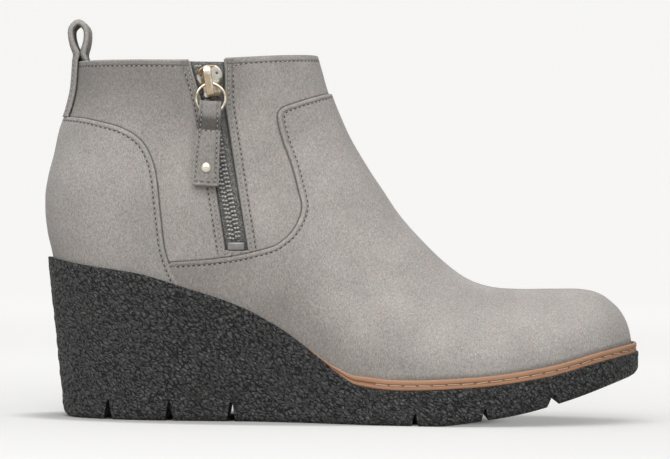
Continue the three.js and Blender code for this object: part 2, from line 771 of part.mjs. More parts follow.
// Zip tape behind the slot, the coil and its bottom stop between the slot's edges. The tape and the coil
// end below the collar, and the stop sits above the slot's end with the coil above it.
const tapeDrop = 1;
const coilDrop = 2;
const stopLift = 0.6;
const coilLift = 0.7;
function makeTape() {
  const half = zipSlotWidth / 2 + tapeMargin;
  return shell(-wall - gap, -wall - gap - tapeThickness)
    .intersect(zipStrip(() => half, zipFoot.y - tapeMargin / 2, collarAt(zipX(zipTop)) - tapeDrop));
}
function makeCoil() {
  const low = zipFoot.y + stopLift + stopHeight + coilLift;
  return shell(0, -wall).intersect(zipStrip(() => coilWidth / 2, low, collarAt(zipX(zipTop)) - coilDrop));
}
function makeStop() {
  const low = zipFoot.y + stopLift;
  return shell(stopRise, -wall).intersect(zipStrip(() => stopWidth / 2, low, low + stopHeight, 1));
}

// The slider's frame: right along the boot, up along the zip and out from the upper's surface.
const sliderDrop = 9.6;
const sliderZ = zipTop - sliderDrop;
function sliderFrame() {
  const x = zipX(sliderZ);
  const step = 1;
  const y = surfaceY(x, sliderZ, 'outer');
  const slopeX = (surfaceY(x + step, sliderZ, 'outer') - surfaceY(x - step, sliderZ, 'outer')) / (2 * step);
  const slopeZ = (surfaceY(x, sliderZ + step, 'outer') - surfaceY(x, sliderZ - step, 'outer')) / (2 * step);
  const out = new THREE.Vector3(slopeX, -1, slopeZ).normalize();
  const lean = new THREE.Vector3(-zipLean, 0, 1);
  const right = lean.clone().cross(out).normalize();
  const up = out.clone().cross(right);
  const frame = new THREE.Matrix4().makeBasis(right, up, out);
  return frame.setPosition(x, y, sliderZ);
}
const slider = sliderFrame();

// Slider: a plate with two lobes at the top, and a bridge for the ring.
const plateShares = [
  [-0.31, -0.5],
  [0.31, -0.5],
  [0.33, -0.1],
  [0.5, 0.1],
  [0.5, 0.4],
  [0.42, 0.5],
  [0.2, 0.5],
  [0, 0.38],
  [-0.2, 0.5],
  [-0.42, 0.5],
  [-0.5, 0.4],
  [-0.5, 0.1],
  [-0.33, -0.1],
];
const ringRoom = ringWire + 2 * gap;
const bridgeShoulder = 0.6;
function makeSlider() {
  const points = plateShares.map(([u, v]) => new THREE.Vector2(u * sliderWidth, v * sliderLength));
  const plateOptions = { depth: sliderPlate, bevelEnabled: false };
  const plate = new THREE.ExtrudeGeometry(new THREE.Shape(points), plateOptions);
  plate.translate(0, 0, gap);
  const end = bridgeLength / 2;
  const inner = end - bridgeThickness;
  const top = ringRoom + bridgeThickness;
  const sunk = -sliderPlate / 2;
  const arch = [
    [-end, sunk],
    [-inner, sunk],
    [-inner, ringRoom * bridgeShoulder],
    [-inner + bridgeThickness / 2, ringRoom],
    [inner - bridgeThickness / 2, ringRoom],
    [inner, ringRoom * bridgeShoulder],
    [inner, sunk],
    [end, sunk],
    [end, top * bridgeShoulder],
    [inner, top],
    [-inner, top],
    [-end, top * bridgeShoulder],
  ].map(([u, v]) => new THREE.Vector2(u, v));
  const bridgeOptions = { depth: bridgeWidth, bevelEnabled: false };
  const bridge = new THREE.ExtrudeGeometry(new THREE.Shape(arch), bridgeOptions);
  bridge.translate(0, 0, -bridgeWidth / 2);
  bridge.applyMatrix4(new THREE.Matrix4().makeBasis(
    new THREE.Vector3(0, 1, 0),
    new THREE.Vector3(0, 0, 1),
    new THREE.Vector3(1, 0, 0),
  ));
  bridge.translate(0, 0, gap + sliderPlate);
  const solid = solidOf(plate).add(solidOf(bridge));
  return solidOf(geometryOf(solid).applyMatrix4(slider));
}

// The ring's wire lies under the bridge: the pull turns about it there, on an axis along X.
const hingeDrop = 1.1;
const hinge = new THREE.Vector3(0, -hingeDrop, gap + sliderPlate + ringRoom / 2).applyMatrix4(slider);
const tabTilt = THREE.MathUtils.degToRad(3);

function makeRing() {
  const geometry = new THREE.TorusGeometry(ringRadius, ringWire / 2, 8, 26);
  geometry.rotateX(Math.PI / 2);
  geometry.translate(0, 0, -ringRadius);
  return solidOf(geometry);
}

// Tab: a folded strip with the ring in its fold, sewn flat below it, and a hole for the rivet.
const foldTop = -(ringRadius + gap + foldThickness);
const tabEnd = foldTop - tabLength;
const tabCorner = 0.8;
const rivetRise = 7.5;
const rivetZ = tabEnd + rivetRise;
const rivetSides = 16;
function placedTab(solid) {
  const geometry = geometryOf(solid);
  geometry.translate(0, 0, ringRadius);
  geometry.rotateY(tabTilt);
  geometry.translate(0, 0, -ringRadius);
  return solidOf(geometry);
}
function makeTab() {
  const room = ringWire / 2 + gap;
  const fold = room + foldThickness;
  const flat = tabThickness / 2;
  const holeTop = foldTop - foldThickness;
  const holeEnd = -(2 * ringRadius + ringWire / 2 + gap);
  const foldEnd = holeEnd - foldThickness;
  const outside = [
    [-flat, tabEnd],
    [flat, tabEnd],
    [flat, foldEnd - 2 * foldThickness],
    [fold, foldEnd],
    [fold, foldTop - 2 * foldThickness],
    [fold / 2, foldTop],
    [-fold / 2, foldTop],
    [-fold, foldTop - 2 * foldThickness],
    [-fold, foldEnd],
    [-flat, foldEnd - 2 * foldThickness],
  ];
  const inside = [
    [-room, holeEnd],
    [-room, holeTop - gap],
    [-room / 2, holeTop],
    [room / 2, holeTop],
    [room, holeTop - gap],
    [room, holeEnd],
  ];
  const profile = new THREE.Shape(outside.map(([y, z]) => new THREE.Vector2(y, z)));
  profile.holes.push(new THREE.Path(inside.map(([y, z]) => new THREE.Vector2(y, z))));
  const strip = new THREE.ExtrudeGeometry(profile, { depth: tabEndWidth, bevelEnabled: false });
  strip.translate(0, 0, -tabEndWidth / 2);
  strip.applyMatrix4(new THREE.Matrix4().makeBasis(
    new THREE.Vector3(0, 1, 0),
    new THREE.Vector3(0, 0, 1),
    new THREE.Vector3(1, 0, 0),
  ));
  const front = sideRegion([
    [-tabEndWidth / 2 + tabCorner, tabEnd],
    [tabEndWidth / 2 - tabCorner, tabEnd],
    [tabEndWidth / 2, tabEnd + tabCorner],
    [tabTopWidth / 2, foldTop],
    [-tabTopWidth / 2, foldTop],
    [-tabEndWidth / 2, tabEnd + tabCorner],
  ], -tabThickness, tabThickness);
  const holeRadius = rivetShank / 2 + gap;
  const hole = new THREE.CylinderGeometry(holeRadius, holeRadius, 2 * tabThickness, rivetSides);
  hole.translate(0, 0, rivetZ);
  return placedTab(solidOf(strip).intersect(front).subtract(solidOf(hole)));
}

function makeRivet() {
  const face = tabThickness / 2 + gap;
  const backRadius = 0.4 * rivetDiameter;
  const backFace = face + 0.6 * rivetHead;
  const profile = [
    [0, backFace],
    [backRadius, backFace],
    [backRadius, face],
    [rivetShank / 2, face],
    [rivetShank / 2, -face],
    [rivetDiameter / 2, -face],
    [rivetDiameter / 2, -face - 0.5 * rivetHead],
    [0.3 * rivetDiameter, -face - rivetHead],
    [0, -face - rivetHead],
  ].map(([radius, y]) => new THREE.Vector2(radius, y));
  const geometry = new THREE.LatheGeometry(profile.reverse(), rivetSides);
  geometry.translate(0, 0, rivetZ);
  return placedTab(solidOf(geometry));
}

function addPiece(name, solid, material, parent) {
  const mesh = new THREE.Mesh(geometryOf(solid), material);
  mesh.name = name;
  parent.add(mesh);
}

const boot = new THREE.Group();
addPiece('sole', makeSole(), materials.rubber, boot);
addPiece('welt', makeWelt(), materials.welt, boot);
addPiece('upper', makeUpper(), materials.suede, boot);
addPiece('insole', makeInsole(), materials.lining, boot);
addPiece('heel_counter', makeCounter(), materials.suede, boot);
addPiece('pull_loop', makePullLoop(), materials.suede, boot);
addPiece('zip_tape', makeTape(), materials.tape, boot);
addPiece('zip_coil', makeCoil(), materials.coil, boot);
addPiece('zip_stop', makeStop(), materials.metal, boot);
addPiece('zip_slider', makeSlider(), materials.metal, boot);

// The pull hangs from its hinge: ring, tab and rivet turn as one.
const pull = new THREE.Group();
pull.position.copy(hinge);
addPiece('pull_ring', makeRing(), materials.metal, pull);
addPiece('pull_tab', makeTab(), materials.suede, pull);
addPiece('pull_rivet', makeRivet(), materials.metal, pull);
boot.add(pull);

// The boot stands on the floor with the middle of its footprint at the origin.
const extent = new THREE.Box3().setFromObject(boot);
const centre = extent.getCenter(new THREE.Vector3());
boot.position.set(-centre.x, -centre.y, -extent.min.z);

export default boot;
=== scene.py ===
# %% [markdown]
# # Wedge ankle boot in grey suede
# The real boot is a suede upper pulled over a last and set into a wedge of crepe rubber, with a zip at
# its side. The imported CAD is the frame: each piece made here stands where the CAD's piece stands and
# rides on one of its bodies. Shapes are worked out in millimetres and scaled when a mesh is made.

# %% Frame and tools
import math
import bpy
import numpy as np
from mathutils import Matrix, Vector
from mathutils.kdtree import KDTree


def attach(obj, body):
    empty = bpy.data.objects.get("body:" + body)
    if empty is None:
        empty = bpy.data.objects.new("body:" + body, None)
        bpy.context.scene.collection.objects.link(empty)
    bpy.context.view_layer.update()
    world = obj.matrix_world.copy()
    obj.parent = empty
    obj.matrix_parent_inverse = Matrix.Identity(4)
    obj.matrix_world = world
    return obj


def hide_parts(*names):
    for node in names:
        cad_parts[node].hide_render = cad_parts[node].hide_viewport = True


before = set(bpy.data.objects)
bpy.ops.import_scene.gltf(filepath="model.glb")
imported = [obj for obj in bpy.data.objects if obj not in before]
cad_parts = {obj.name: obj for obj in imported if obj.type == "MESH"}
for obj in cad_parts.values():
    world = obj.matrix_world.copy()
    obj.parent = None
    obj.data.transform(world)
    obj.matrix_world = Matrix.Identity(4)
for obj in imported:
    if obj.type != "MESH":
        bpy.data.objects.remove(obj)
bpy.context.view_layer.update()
MM = 0.001

# %% [markdown]
# ## Sizes
# A shoemaker starts from a few sizes of the last. They could be measured off the CAD's meshes, but the
# same named sizes as in the CAD give a surface of any fineness that still lies on the CAD's.

# %% Sizes of the boot in millimetres
sole_length, ball_width, heel_width, shaft_width = 250.0, 83.0, 58.0, 59.0
toe_box, collar_height, heel_height, forefoot_height = 54.5, 151.0, 67.1, 14.3
toe_spring, lip_width, cup_depth, overlay_step = 20.0, 2.1, 2.5, 1.2
gap, wall = 0.3, 1.8
rim_out = overlay_step + gap + lip_width
offset = np.array([0.4026, 2.5955, 0.0])  # from the last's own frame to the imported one
rng = np.random.default_rng(7)
print("heel:", heel_height, "collar:", collar_height, "rim outside the last:", round(rim_out, 1))

# %% [markdown]
# ## The last
# A last is the solid foot that an upper is pulled over. It could be sculpted, but here its form comes
# from short tables of shares read with smooth curves, so that any point of it can be worked out.
# Cross sections stand upright over the toes and fan out about a line in front of the collar.

# %% Curves through a table or a few points
def x_at(station):
    return sole_length * (np.asarray(station, float) - 0.5)


def station_of(x):
    return x / sole_length + 0.5


def track(keys, values):
    """Smooth curve without overshoot through a table's column."""
    k, v = np.asarray(keys, float), np.asarray(values, float)
    steps = np.diff(k)
    slopes = np.diff(v) / steps
    before = np.concatenate([slopes[:1], slopes])
    after = np.concatenate([slopes, slopes[-1:]])
    both = before * after
    tangent = np.where(both > 0, 2 * both / np.where(both > 0, before + after, 1), 0)

    def read(x):
        x = np.clip(x, k[0], k[-1])
        i = np.clip(np.searchsorted(k, x, side="left") - 1, 0, len(steps) - 1)
        t = (x - k[i]) / steps[i]
        bend = steps[i] * t * (1 - t) * (tangent[i] * (1 - t) - tangent[i + 1] * t)
        return v[i] * (1 + 2 * t) * (1 - t) ** 2 + v[i + 1] * t * t * (3 - 2 * t) + bend

    return read


def spline(points, count):
    """Points along a smooth curve through the given ones."""
    p = np.asarray(points, float)
    n = len(p) - 1
    t = np.linspace(0, n, count)
    i = np.minimum(t.astype(int), n - 1)
    f = (t - i)[:, None]
    p0, p1 = p[np.where(i == 0, i, i - 1)], p[i]
    p2, p3 = p[i + 1], p[np.where(i > n - 2, n, i + 2)]
    v0, v1 = (p2 - p0) / 2, (p3 - p1) / 2
    return (2 * p1 - 2 * p2 + v0 + v1) * f**3 + (-3 * p1 + 3 * p2 - 2 * v0 - v1) * f**2 + v0 * f + p1


def respaced(points, count):
    """The same line with evenly spaced points."""
    d = np.concatenate([[0], np.cumsum(np.linalg.norm(np.diff(points, axis=0), axis=1))])
    t = np.linspace(0, d[-1], count)
    return np.stack([np.interp(t, d, points[:, c]) for c in range(points.shape[1])], 1)


def smooth(t, low=0.0, high=1.0):
    t = np.clip((t - low) / (high - low), 0, 1)
    return t * t * (3 - 2 * t)


print("a smooth step at a quarter:", smooth(0.25))

# %% [markdown]
# ## Lines of the side view
# From the side a boot is a few lines: the tread, the line where the upper meets the sole, the ridge
# over the toes and instep, and the back. Each is a table of shares of the boot's sizes.

# %% Tread, sole line, ridge and back
line_station = [0, .055, .164, .227, .322, .393, .455, .49, .528, .593, .708, .826, .927, 1]
wedge = track(line_station, [1, .949, .873, .788, .644, .475, .267, .134, .032, 0, 0, 0, 0, 0])
line_spring = track(line_station, [0, 0, 0, 0, 0, 0, 0, 0, 0, 0, .07, .28, .61, .81])
tread_spring = track([0, .65, .73, .79, .84, .89, .96, 1], [0, 0, .12, .25, .41, .6, .9, 1.06])


def sole_line(x):
    s = station_of(x)
    return forefoot_height + (heel_height - forefoot_height) * wedge(s) + toe_spring * line_spring(s)


def tread_at(x):
    return toe_spring * tread_spring(station_of(x))


ridge_rows = [  # station, share of the toe box, share of the way from there to the collar
    (.99, .366, 0), (.9864, .513, 0), (.9832, .623, 0), (.9788, .723, 0), (.9712, .808, 0),
    (.9576, .89, 0), (.932, .973, 0), (.9, 1.005, 0), (.852, 1.004, 0), (.798, .998, 0),
    (.75, 1, .009), (.7084, 1, .046), (.6672, 1, .122), (.626, 1, .221), (.5912, 1, .319),
    (.5636, 1, .418), (.536, 1, .519), (.5076, 1, .645), (.486, 1, .767), (.4696, 1, .874),
    (.4592, 1, .96), (.452, 1, 1.021), (.444, 1, 1.085),
]
ridge = respaced(spline([(x_at(s), toe_box * t + (collar_height - toe_box) * u)
                         for s, t, u in ridge_rows], 4001), 1201)
along_ridge = np.linspace(0, 1, len(ridge))
last_tip = float(x_at(.99))
back_station = track([.35, .42, .465, .51, .57, .61, .665, .73, .795, .86, .92, 1, 1.1],
                     [.0264, .018, .0124, .006, .0016, .0012, .0056, .0152, .0228, .0356, .0428,
                      .0456, .048])


def back_at(z):
    return x_at(back_station(z / collar_height))


print("ridge from", ridge[0].round(1), "to", ridge[-1].round(1))

# %% [markdown]
# ## Widths and roundness
# Seen from above, the outer side of a foot is fuller than its inner side and the toes lean inwards.
# Seen along the foot, each section has a widest place, a round crown and a slight tuck to the sole.

# %% Plan and section tables
plan_station = [0, .18, .33, .42, .5, .58, .66, .74, .87, 1]
forefoot = track(plan_station, [0, 0, 0, .35, .7, 1, 1, 1, 1, 1])
plan_width = {-1: track(plan_station, [.5, .5, .475, .455, .475, .51, .538, .532, .52, .51]),
              1: track(plan_station, [.5, .5, .46, .39, .375, .405, .462, .478, .47, .46])}
lean = track(plan_station, [0, 0, 0, 0, 0, 0, 0, .006, .03, .062])
shaft_share = track([.45, .62, .76, .9, 1], [.5, .5, .482, .492, .5])
section_along = [0, .2, .36, .5, .64, .8, 1]
widest_at = track(section_along, [.6, .55, .56, .64, .66, .52, .45])
crown_at = track(section_along, [2.2, 2.2, 2, 1.6, 1.45, 1.6, 1.8])
tuck_at = track(section_along, [.1, .1, .08, .05, .03, 0, 0])
fan = np.array([float(x_at(.628)), collar_height * 1.013])
root_depth = cup_depth + 12
foot_to_shaft = (10, 50)  # heights above the sole line between which the foot becomes the shaft
heel_share, heel_power, toe_share, toe_power = .18, 2.1, .32, 2.2


def middle(x):
    return ball_width * lean(station_of(x))


def round_end(depth, power):
    return np.sqrt(np.maximum(0, 1 - (1 - np.clip(depth, 0, 1)) ** power))


print("sections fan about", fan.round(1))

# %% Section through a point, and the side of the last there
fan_first = int(np.argmax(ridge[:, 0] < fan[0]))
fan_angle = np.arctan2(fan[1] - ridge[:, 1], fan[0] - ridge[:, 0])[fan_first:]


def ridge_place(x, z):
    """How far along the ridge the section through each point starts."""
    ahead = np.interp(-x, -ridge[:, 0], along_ridge)
    # behind the fan line the angle falls steadily as the ridge climbs
    angle = np.arctan2(fan[1] - z, fan[0] - x)
    fanned = np.interp(-angle, -fan_angle, along_ridge[fan_first:])
    return np.where(x >= fan[0], ahead, fanned)


def section_reach(along):
    """Length of each section from the ridge to the root of the last or its back."""
    top = np.stack([np.interp(along, along_ridge, ridge[:, c]) for c in (0, 1)], -1)
    way = top - fan
    way /= np.maximum(1e-9, np.linalg.norm(way, axis=-1, keepdims=True))
    way = np.where(top[..., :1] < fan[0], way, np.array([0.0, -1.0]))
    low, high = np.zeros(along.shape), np.full(along.shape, sole_length)
    for _ in range(34):
        mid = (low + high) / 2
        x, z = top[..., 0] + way[..., 0] * mid, top[..., 1] + way[..., 1] * mid
        inside = (z > sole_line(x) - root_depth) & (x > back_at(z))
        low, high = np.where(inside, mid, low), np.where(inside, high, mid)
    return low


reach_along = np.linspace(0, 1, 2401)
reach_table = section_reach(reach_along)


def half_width(x, z, side):
    """Half the last's width at side view points, on its outer (-1) or inner (1) side."""
    along = ridge_place(x, z)
    top_x = np.interp(along, along_ridge, ridge[:, 0])
    top_z = np.interp(along, along_ridge, ridge[:, 1])
    reach = np.interp(along, reach_along, reach_table)
    share = np.clip(np.hypot(x - top_x, z - top_z) / reach, 0, 1)
    s = station_of(x)
    width = heel_width + (ball_width - heel_width) * forefoot(s)
    side = np.broadcast_to(side, x.shape)
    foot = width * np.where(side < 0, plan_width[-1](s), plan_width[1](s))
    shaft = shaft_width * shaft_share(z / collar_height)
    full = foot + (shaft - foot) * smooth(z - sole_line(x), *foot_to_shaft)
    widest = widest_at(along)
    crown = round_end(share / widest, crown_at(along))
    low = np.maximum(0, (share - widest) / (1 - widest))
    tuck = 1 - tuck_at(along) * low * low
    heel = round_end((x - back_at(z)) / (sole_length * heel_share), heel_power)
    toe = round_end((last_tip - x) / (sole_length * toe_share), toe_power)
    return full * crown * tuck * heel * toe


def surface(x, z, side):
    """Points of the last's surface above side view points. side is -1 for outer, 1 for inner."""
    return np.stack([x, middle(x) + side * half_width(x, z, side), z], -1)


def skin_normal(x, z, side, reach):
    """The way out of the last at side view points, from its neighbours at a reach."""
    across = surface(x + reach, z, side) - surface(x - reach, z, side)
    upward = surface(x, z + reach, side) - surface(x, z - reach, side)
    out = np.cross(across, upward) * (1 if side < 0 else -1)
    return out / np.maximum(1e-9, np.linalg.norm(out, axis=-1, keepdims=True))


print("half widths at the heel, waist and ball:",
      half_width(np.array([-60.0, 30.0, 80.0]), np.array([120.0, 40.0, 30.0]), -1).round(2))

# %% [markdown]
# ## Meshes from grids
# Suede panels are cut from one hide, and here from one fine grid on the last, along their real edges.
# Blender's own knife could cut them, but on plain arrays a cut can carry measures with it, such as
# the distance to a seam, which the materials read later.

# %% Grid faces, weld and normals
def grid_faces(rows, columns, closed=False):
    """The quads of a grid of points, closed round its columns or open."""
    i, j = np.meshgrid(np.arange(rows - 1), np.arange(columns if closed else columns - 1), indexing="ij")
    a, b = i * columns + j, i * columns + (j + 1) % columns
    return np.stack([a, b, b + columns, a + columns], -1).reshape(-1, 4)


def split(quads):
    return np.concatenate([quads[:, [0, 1, 2]], quads[:, [0, 2, 3]]])


def weld(points, tris, extra=None, grain=1e-3):
    """Joins points at the same place and drops the triangles that this makes flat."""
    key = np.round(points / grain).astype(np.int64)
    _, first, back = np.unique(key, axis=0, return_index=True, return_inverse=True)
    tris = back.reshape(-1)[tris]
    good = (tris[:, 0] != tris[:, 1]) & (tris[:, 1] != tris[:, 2]) & (tris[:, 0] != tris[:, 2])
    kept = {name: values[first] for name, values in (extra or {}).items()}
    return points[first], tris[good], kept


def normals_of(points, tris):
    a, b, c = (points[tris[:, k]] for k in range(3))
    face = np.cross(b - a, c - a)
    total = np.zeros_like(points)
    for k in range(3):
        np.add.at(total, tris[:, k], face)
    return total / np.maximum(1e-12, np.linalg.norm(total, axis=1, keepdims=True))


print("a grid of 3 by 3 points has", len(grid_faces(3, 3)), "quads")

# %% Cut a mesh along a line, and find its open edges
def cut(points, tris, field, extra):
    """Keeps the part where the field is above zero, with a clean new edge where it is zero."""
    keep = field > 0
    count = keep[tris].sum(1)
    columns = [extra[name].reshape(len(points), -1) for name in extra]
    data = np.concatenate([points, *columns], 1)

    def between(a, b):
        t = (field[a] / (field[a] - field[b]))[:, None]
        return data[a] + (data[b] - data[a]) * t

    new, made, first_new = [data], [tris[count == 3]], len(points)
    for wanted in (1, 2):
        part = tris[count == wanted]
        lone = np.argmax(keep[part] if wanted == 1 else ~keep[part], 1)
        r = np.arange(len(part))
        a, b, c = part[r, lone], part[r, (lone + 1) % 3], part[r, (lone + 2) % 3]
        new += [between(a, b), between(a, c)]
        ab, ac = first_new + r, first_new + len(part) + r
        first_new += 2 * len(part)
        if wanted == 1:
            made.append(np.stack([a, ab, ac], 1))
        else:
            made += [np.stack([ab, b, c], 1), np.stack([ab, c, ac], 1)]
    data = np.concatenate(new)
    tris = np.concatenate(made)
    used = np.zeros(len(data), bool)
    used[tris.reshape(-1)] = True
    on_cut = (np.arange(len(data)) >= len(points))[used]
    data, tris = data[used], (np.cumsum(used) - 1)[tris]
    values = {name: data[:, 3 + k] for k, name in enumerate(extra)}
    values["on_cut"] = on_cut.astype(float)
    return weld(data[:, :3], tris, values)


def rim_loops(tris):
    """The open border edges of a mesh, each in its triangle's direction."""
    edges = np.concatenate([tris[:, [0, 1]], tris[:, [1, 2]], tris[:, [2, 0]]])
    _, first, count = np.unique(np.sort(edges, 1), axis=0, return_index=True, return_counts=True)
    return edges[first[count == 1]]


print("open edges of one triangle:", len(rim_loops(np.array([[0, 1, 2]]))))

# %% Put a mesh into the scene
def put(name, points, tris, finish, body="boot", extra=None):
    """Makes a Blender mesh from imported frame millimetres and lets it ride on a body."""
    mesh = bpy.data.meshes.new(name)
    faces = tris if isinstance(tris, list) else tris.tolist()
    mesh.from_pydata((np.asarray(points) * MM).tolist(), [], faces)
    mesh.validate()
    mesh.polygons.foreach_set("use_smooth", [True] * len(mesh.polygons))
    for key, values in (extra or {}).items():
        layer = mesh.attributes.new(key, "FLOAT", "POINT")
        layer.data.foreach_set("value", np.asarray(values, np.float32))
    obj = bpy.data.objects.new(name, mesh)
    bpy.context.scene.collection.objects.link(obj)
    mesh.materials.append(finish)
    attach(obj, body)
    return obj


def apply_modifiers(obj):
    """Turns what an object's modifiers show into its own mesh."""
    graph = bpy.context.evaluated_depsgraph_get()
    made = bpy.data.meshes.new_from_object(obj.evaluated_get(graph))
    obj.modifiers.clear()
    obj.data = made
    made.polygons.foreach_set("use_smooth", [True] * len(made.polygons))


noise_cells = 48


def noise(points, size, seed):
    """Smooth random field from -1 to 1 whose lumps are about size millimetres wide."""
    grid = np.random.default_rng(seed).random((noise_cells,) * 3) * 2 - 1
    p = points / size
    i = np.floor(p).astype(int)
    f = p - i
    f = f * f * (3 - 2 * f)
    out = np.zeros(len(points))
    for corner in range(8):
        o = np.array([corner & 1, corner >> 1 & 1, corner >> 2])
        k = (i + o) % noise_cells
        out += np.prod(np.where(o == 1, f, 1 - f), 1) * grid[k[:, 0], k[:, 1], k[:, 2]]
    return out


print("noise at the origin:", noise(np.zeros((1, 3)), 1.0, 3).round(3))

# %% [markdown]
# ## Materials
# Photographs could be wrapped round the boot, but worked out patterns have no seams and no size limit.
# Each surface has its own material, and an effect that several of them use is a node group. These
# small helpers add and link nodes, so that a material reads as a short list of steps.

# %% Node helpers
FLOAT, COLOUR = "NodeSocketFloat", "NodeSocketColor"


def node_group(name, inputs, outputs):
    """An empty group with named inputs, each with a kind and a value, and named outputs."""
    group = bpy.data.node_groups.new(name, "ShaderNodeTree")
    for label, kind, value in inputs:
        group.interface.new_socket(label, in_out="INPUT", socket_type=kind).default_value = value
    for label, kind in outputs:
        group.interface.new_socket(label, in_out="OUTPUT", socket_type=kind)
    return group, group.nodes.new("NodeGroupInput").outputs, group.nodes.new("NodeGroupOutput").inputs


def add(tree, kind, links=None, **settings):
    """Adds a node; links maps its inputs to sockets or plain values."""
    node = tree.nodes.new(kind)
    for key, value in settings.items():
        setattr(node, key, value)
    for key, value in (links or {}).items():
        if isinstance(value, bpy.types.NodeSocket):
            tree.links.new(value, node.inputs[key])
        else:
            node.inputs[key].default_value = value
    return node


def math_node(tree, operation, a, b=0.0, c=None, clamp=False):
    links = {0: a, 1: b} if c is None else {0: a, 1: b, 2: c}
    return add(tree, "ShaderNodeMath", links, operation=operation, use_clamp=clamp).outputs[0]


def times(tree, a, b):
    return math_node(tree, "MULTIPLY", a, b)


def ramp(tree, value, low, high, to_low=0.0, to_high=1.0):
    """Smooth step of a value between two limits."""
    links = {"Value": value, "From Min": low, "From Max": high, "To Min": to_low, "To Max": to_high}
    return add(tree, "ShaderNodeMapRange", links, interpolation_type="SMOOTHSTEP").outputs["Result"]


def mix(tree, factor, a, b, blend="MIX"):
    """Blends two colours, sockets or red, green and blue, by the colour sockets of the Mix node."""
    a, b = ((*colour, 1) if isinstance(colour, tuple) else colour for colour in (a, b))
    return add(tree, "ShaderNodeMix", {0: factor, 6: a, 7: b}, data_type="RGBA", blend_type=blend).outputs[2]


def toned(tree, share, colour, tone):
    """A colour, turned by a share towards itself times a tone."""
    return mix(tree, share, colour, mix(tree, 1.0, colour, tone, "MULTIPLY"))


def vector_node(tree, operation, a, b=None, c=None, **links):
    links.update({k: v for k, v in enumerate((a, b, c)) if v is not None})
    return add(tree, "ShaderNodeVectorMath", links, operation=operation)


def object_point(tree, scale=(1000, 1000, 1000), turned=(0.0, 0.0, 0.0)):
    """The place on the object in millimetres, or stretched and turned for a brushed effect."""
    place = add(tree, "ShaderNodeTexCoord").outputs["Object"]
    return add(tree, "ShaderNodeMapping", {"Vector": place, "Scale": scale, "Rotation": turned}).outputs[0]


def speckle(tree, vector, scale, detail=2.0, roughness=0.5):
    """Noise from 0 to 1; more detail adds finer layers, and roughness makes them stronger."""
    links = {"Vector": vector, "Scale": scale, "Detail": detail, "Roughness": roughness}
    return add(tree, "ShaderNodeTexNoise", links).outputs["Fac"]


def measure(tree, name):
    """A measure that the mesh carries at its points, such as a distance to a seam."""
    return add(tree, "ShaderNodeAttribute", attribute_name=name).outputs["Fac"]


print("node helpers ready")

# %% [markdown]
# ## Nap
# Suede is leather with its fibres raised: short, brushed about, and lying differently in soft
# patches. Real hairs would be millions, so the nap is a fine stretched noise that feeds both the
# colour and a bump, with larger patches and faint warm flecks over it.

# %% Nap group
nap, given, out = node_group("nap", [("Base", COLOUR, (0.3, 0.28, 0.27, 1))],
                             [("Colour", COLOUR), ("Height", FLOAT)])
point = object_point(nap)
brushed = object_point(nap, (1500, 1000, 800), (0.0, 0.7, 0.0))
fibre = speckle(nap, brushed, 1.9, 4.0, 0.75)
tuft = speckle(nap, brushed, 1.05, 1.0, 0.6)
patch = speckle(nap, point, 0.045, 3.0, 0.5)
fleck = speckle(nap, point, 0.16, 3.0, 0.65)
tone = times(nap, ramp(nap, fibre, 0.34, 0.66, 0.77, 1.23), ramp(nap, tuft, 0.32, 0.68, 0.89, 1.11))
tone = times(nap, tone, ramp(nap, patch, 0.3, 0.7, 0.91, 1.07))
grey_tone = add(nap, "ShaderNodeCombineColor", {0: tone, 1: tone, 2: tone}).outputs[0]
shaded = mix(nap, 1.0, given["Base"], grey_tone, "MULTIPLY")
coloured = toned(nap, ramp(nap, fleck, 0.52, 0.66), shaded, (1.035, 0.988, 0.993))
nap.links.new(coloured, out["Colour"])
nap.links.new(math_node(nap, "MULTIPLY_ADD", tuft, 0.8, times(nap, fibre, 0.6)), out["Height"])
print("nap nodes:", len(nap.nodes))

# %% [markdown]
# ## Seam
# Where a thread pulls leather down, a soft channel runs beside the edge, which gets painted shade, and
# the colour turns paler towards the edge itself. The channel could be modelled, but it is under half a
# millimetre deep, so a group turns the mesh's measured distance from the edge into a mask for colour and
# bump.

# %% Seam group
seam, given, out = node_group("seam", [("Distance", FLOAT, 10.0), ("Row", FLOAT, 2.0), ("Width", FLOAT, 0.7)],
                              [("Channel", FLOAT), ("Edge", FLOAT)])
away = math_node(seam, "ABSOLUTE", math_node(seam, "SUBTRACT", given["Distance"], given["Row"]))
channel = math_node(seam, "SUBTRACT", 1.0, math_node(seam, "DIVIDE", away, given["Width"]), clamp=True)
seam.links.new(math_node(seam, "SMOOTH_MIN", channel, 1.0, 0.3), out["Channel"])
seam.links.new(ramp(seam, given["Distance"], 0.9, 0.0), out["Edge"])
print("seam nodes:", len(seam.nodes))

# %% [markdown]
# ## Crepe
# Crepe rubber is pressed from curly crumbs: short worm-like pebbles with dark grooves between them.
# The larger lumps are in the sole's mesh. The pebbles are cells, bent by a noise and turned, so that
# no row of them shows.

# %% Crepe group
crepe, given, out = node_group("crepe", [("Scale", FLOAT, 1.0)],
                               [("Height", FLOAT), ("Groove", FLOAT), ("Dust", FLOAT)])
point = vector_node(crepe, "SCALE", object_point(crepe), Scale=given["Scale"]).outputs[0]
point = add(crepe, "ShaderNodeVectorRotate", {"Vector": point, "Angle": -0.7},
            rotation_type="Y_AXIS").outputs[0]
point = vector_node(crepe, "MULTIPLY", point, (0.72, 1.0, 1.3)).outputs[0]
warp = add(crepe, "ShaderNodeTexNoise", {"Vector": point, "Scale": 0.34, "Detail": 1.5}).outputs["Color"]
bent = vector_node(crepe, "MULTIPLY_ADD", warp, (3.4, 3.4, 3.4), point).outputs[0]
cells = add(crepe, "ShaderNodeTexVoronoi", {"Vector": bent, "Scale": 0.5}, feature="DISTANCE_TO_EDGE")
worms = add(crepe, "ShaderNodeTexNoise", {"Vector": point, "Scale": 0.66, "Detail": 0.5, "Distortion": 0.4})
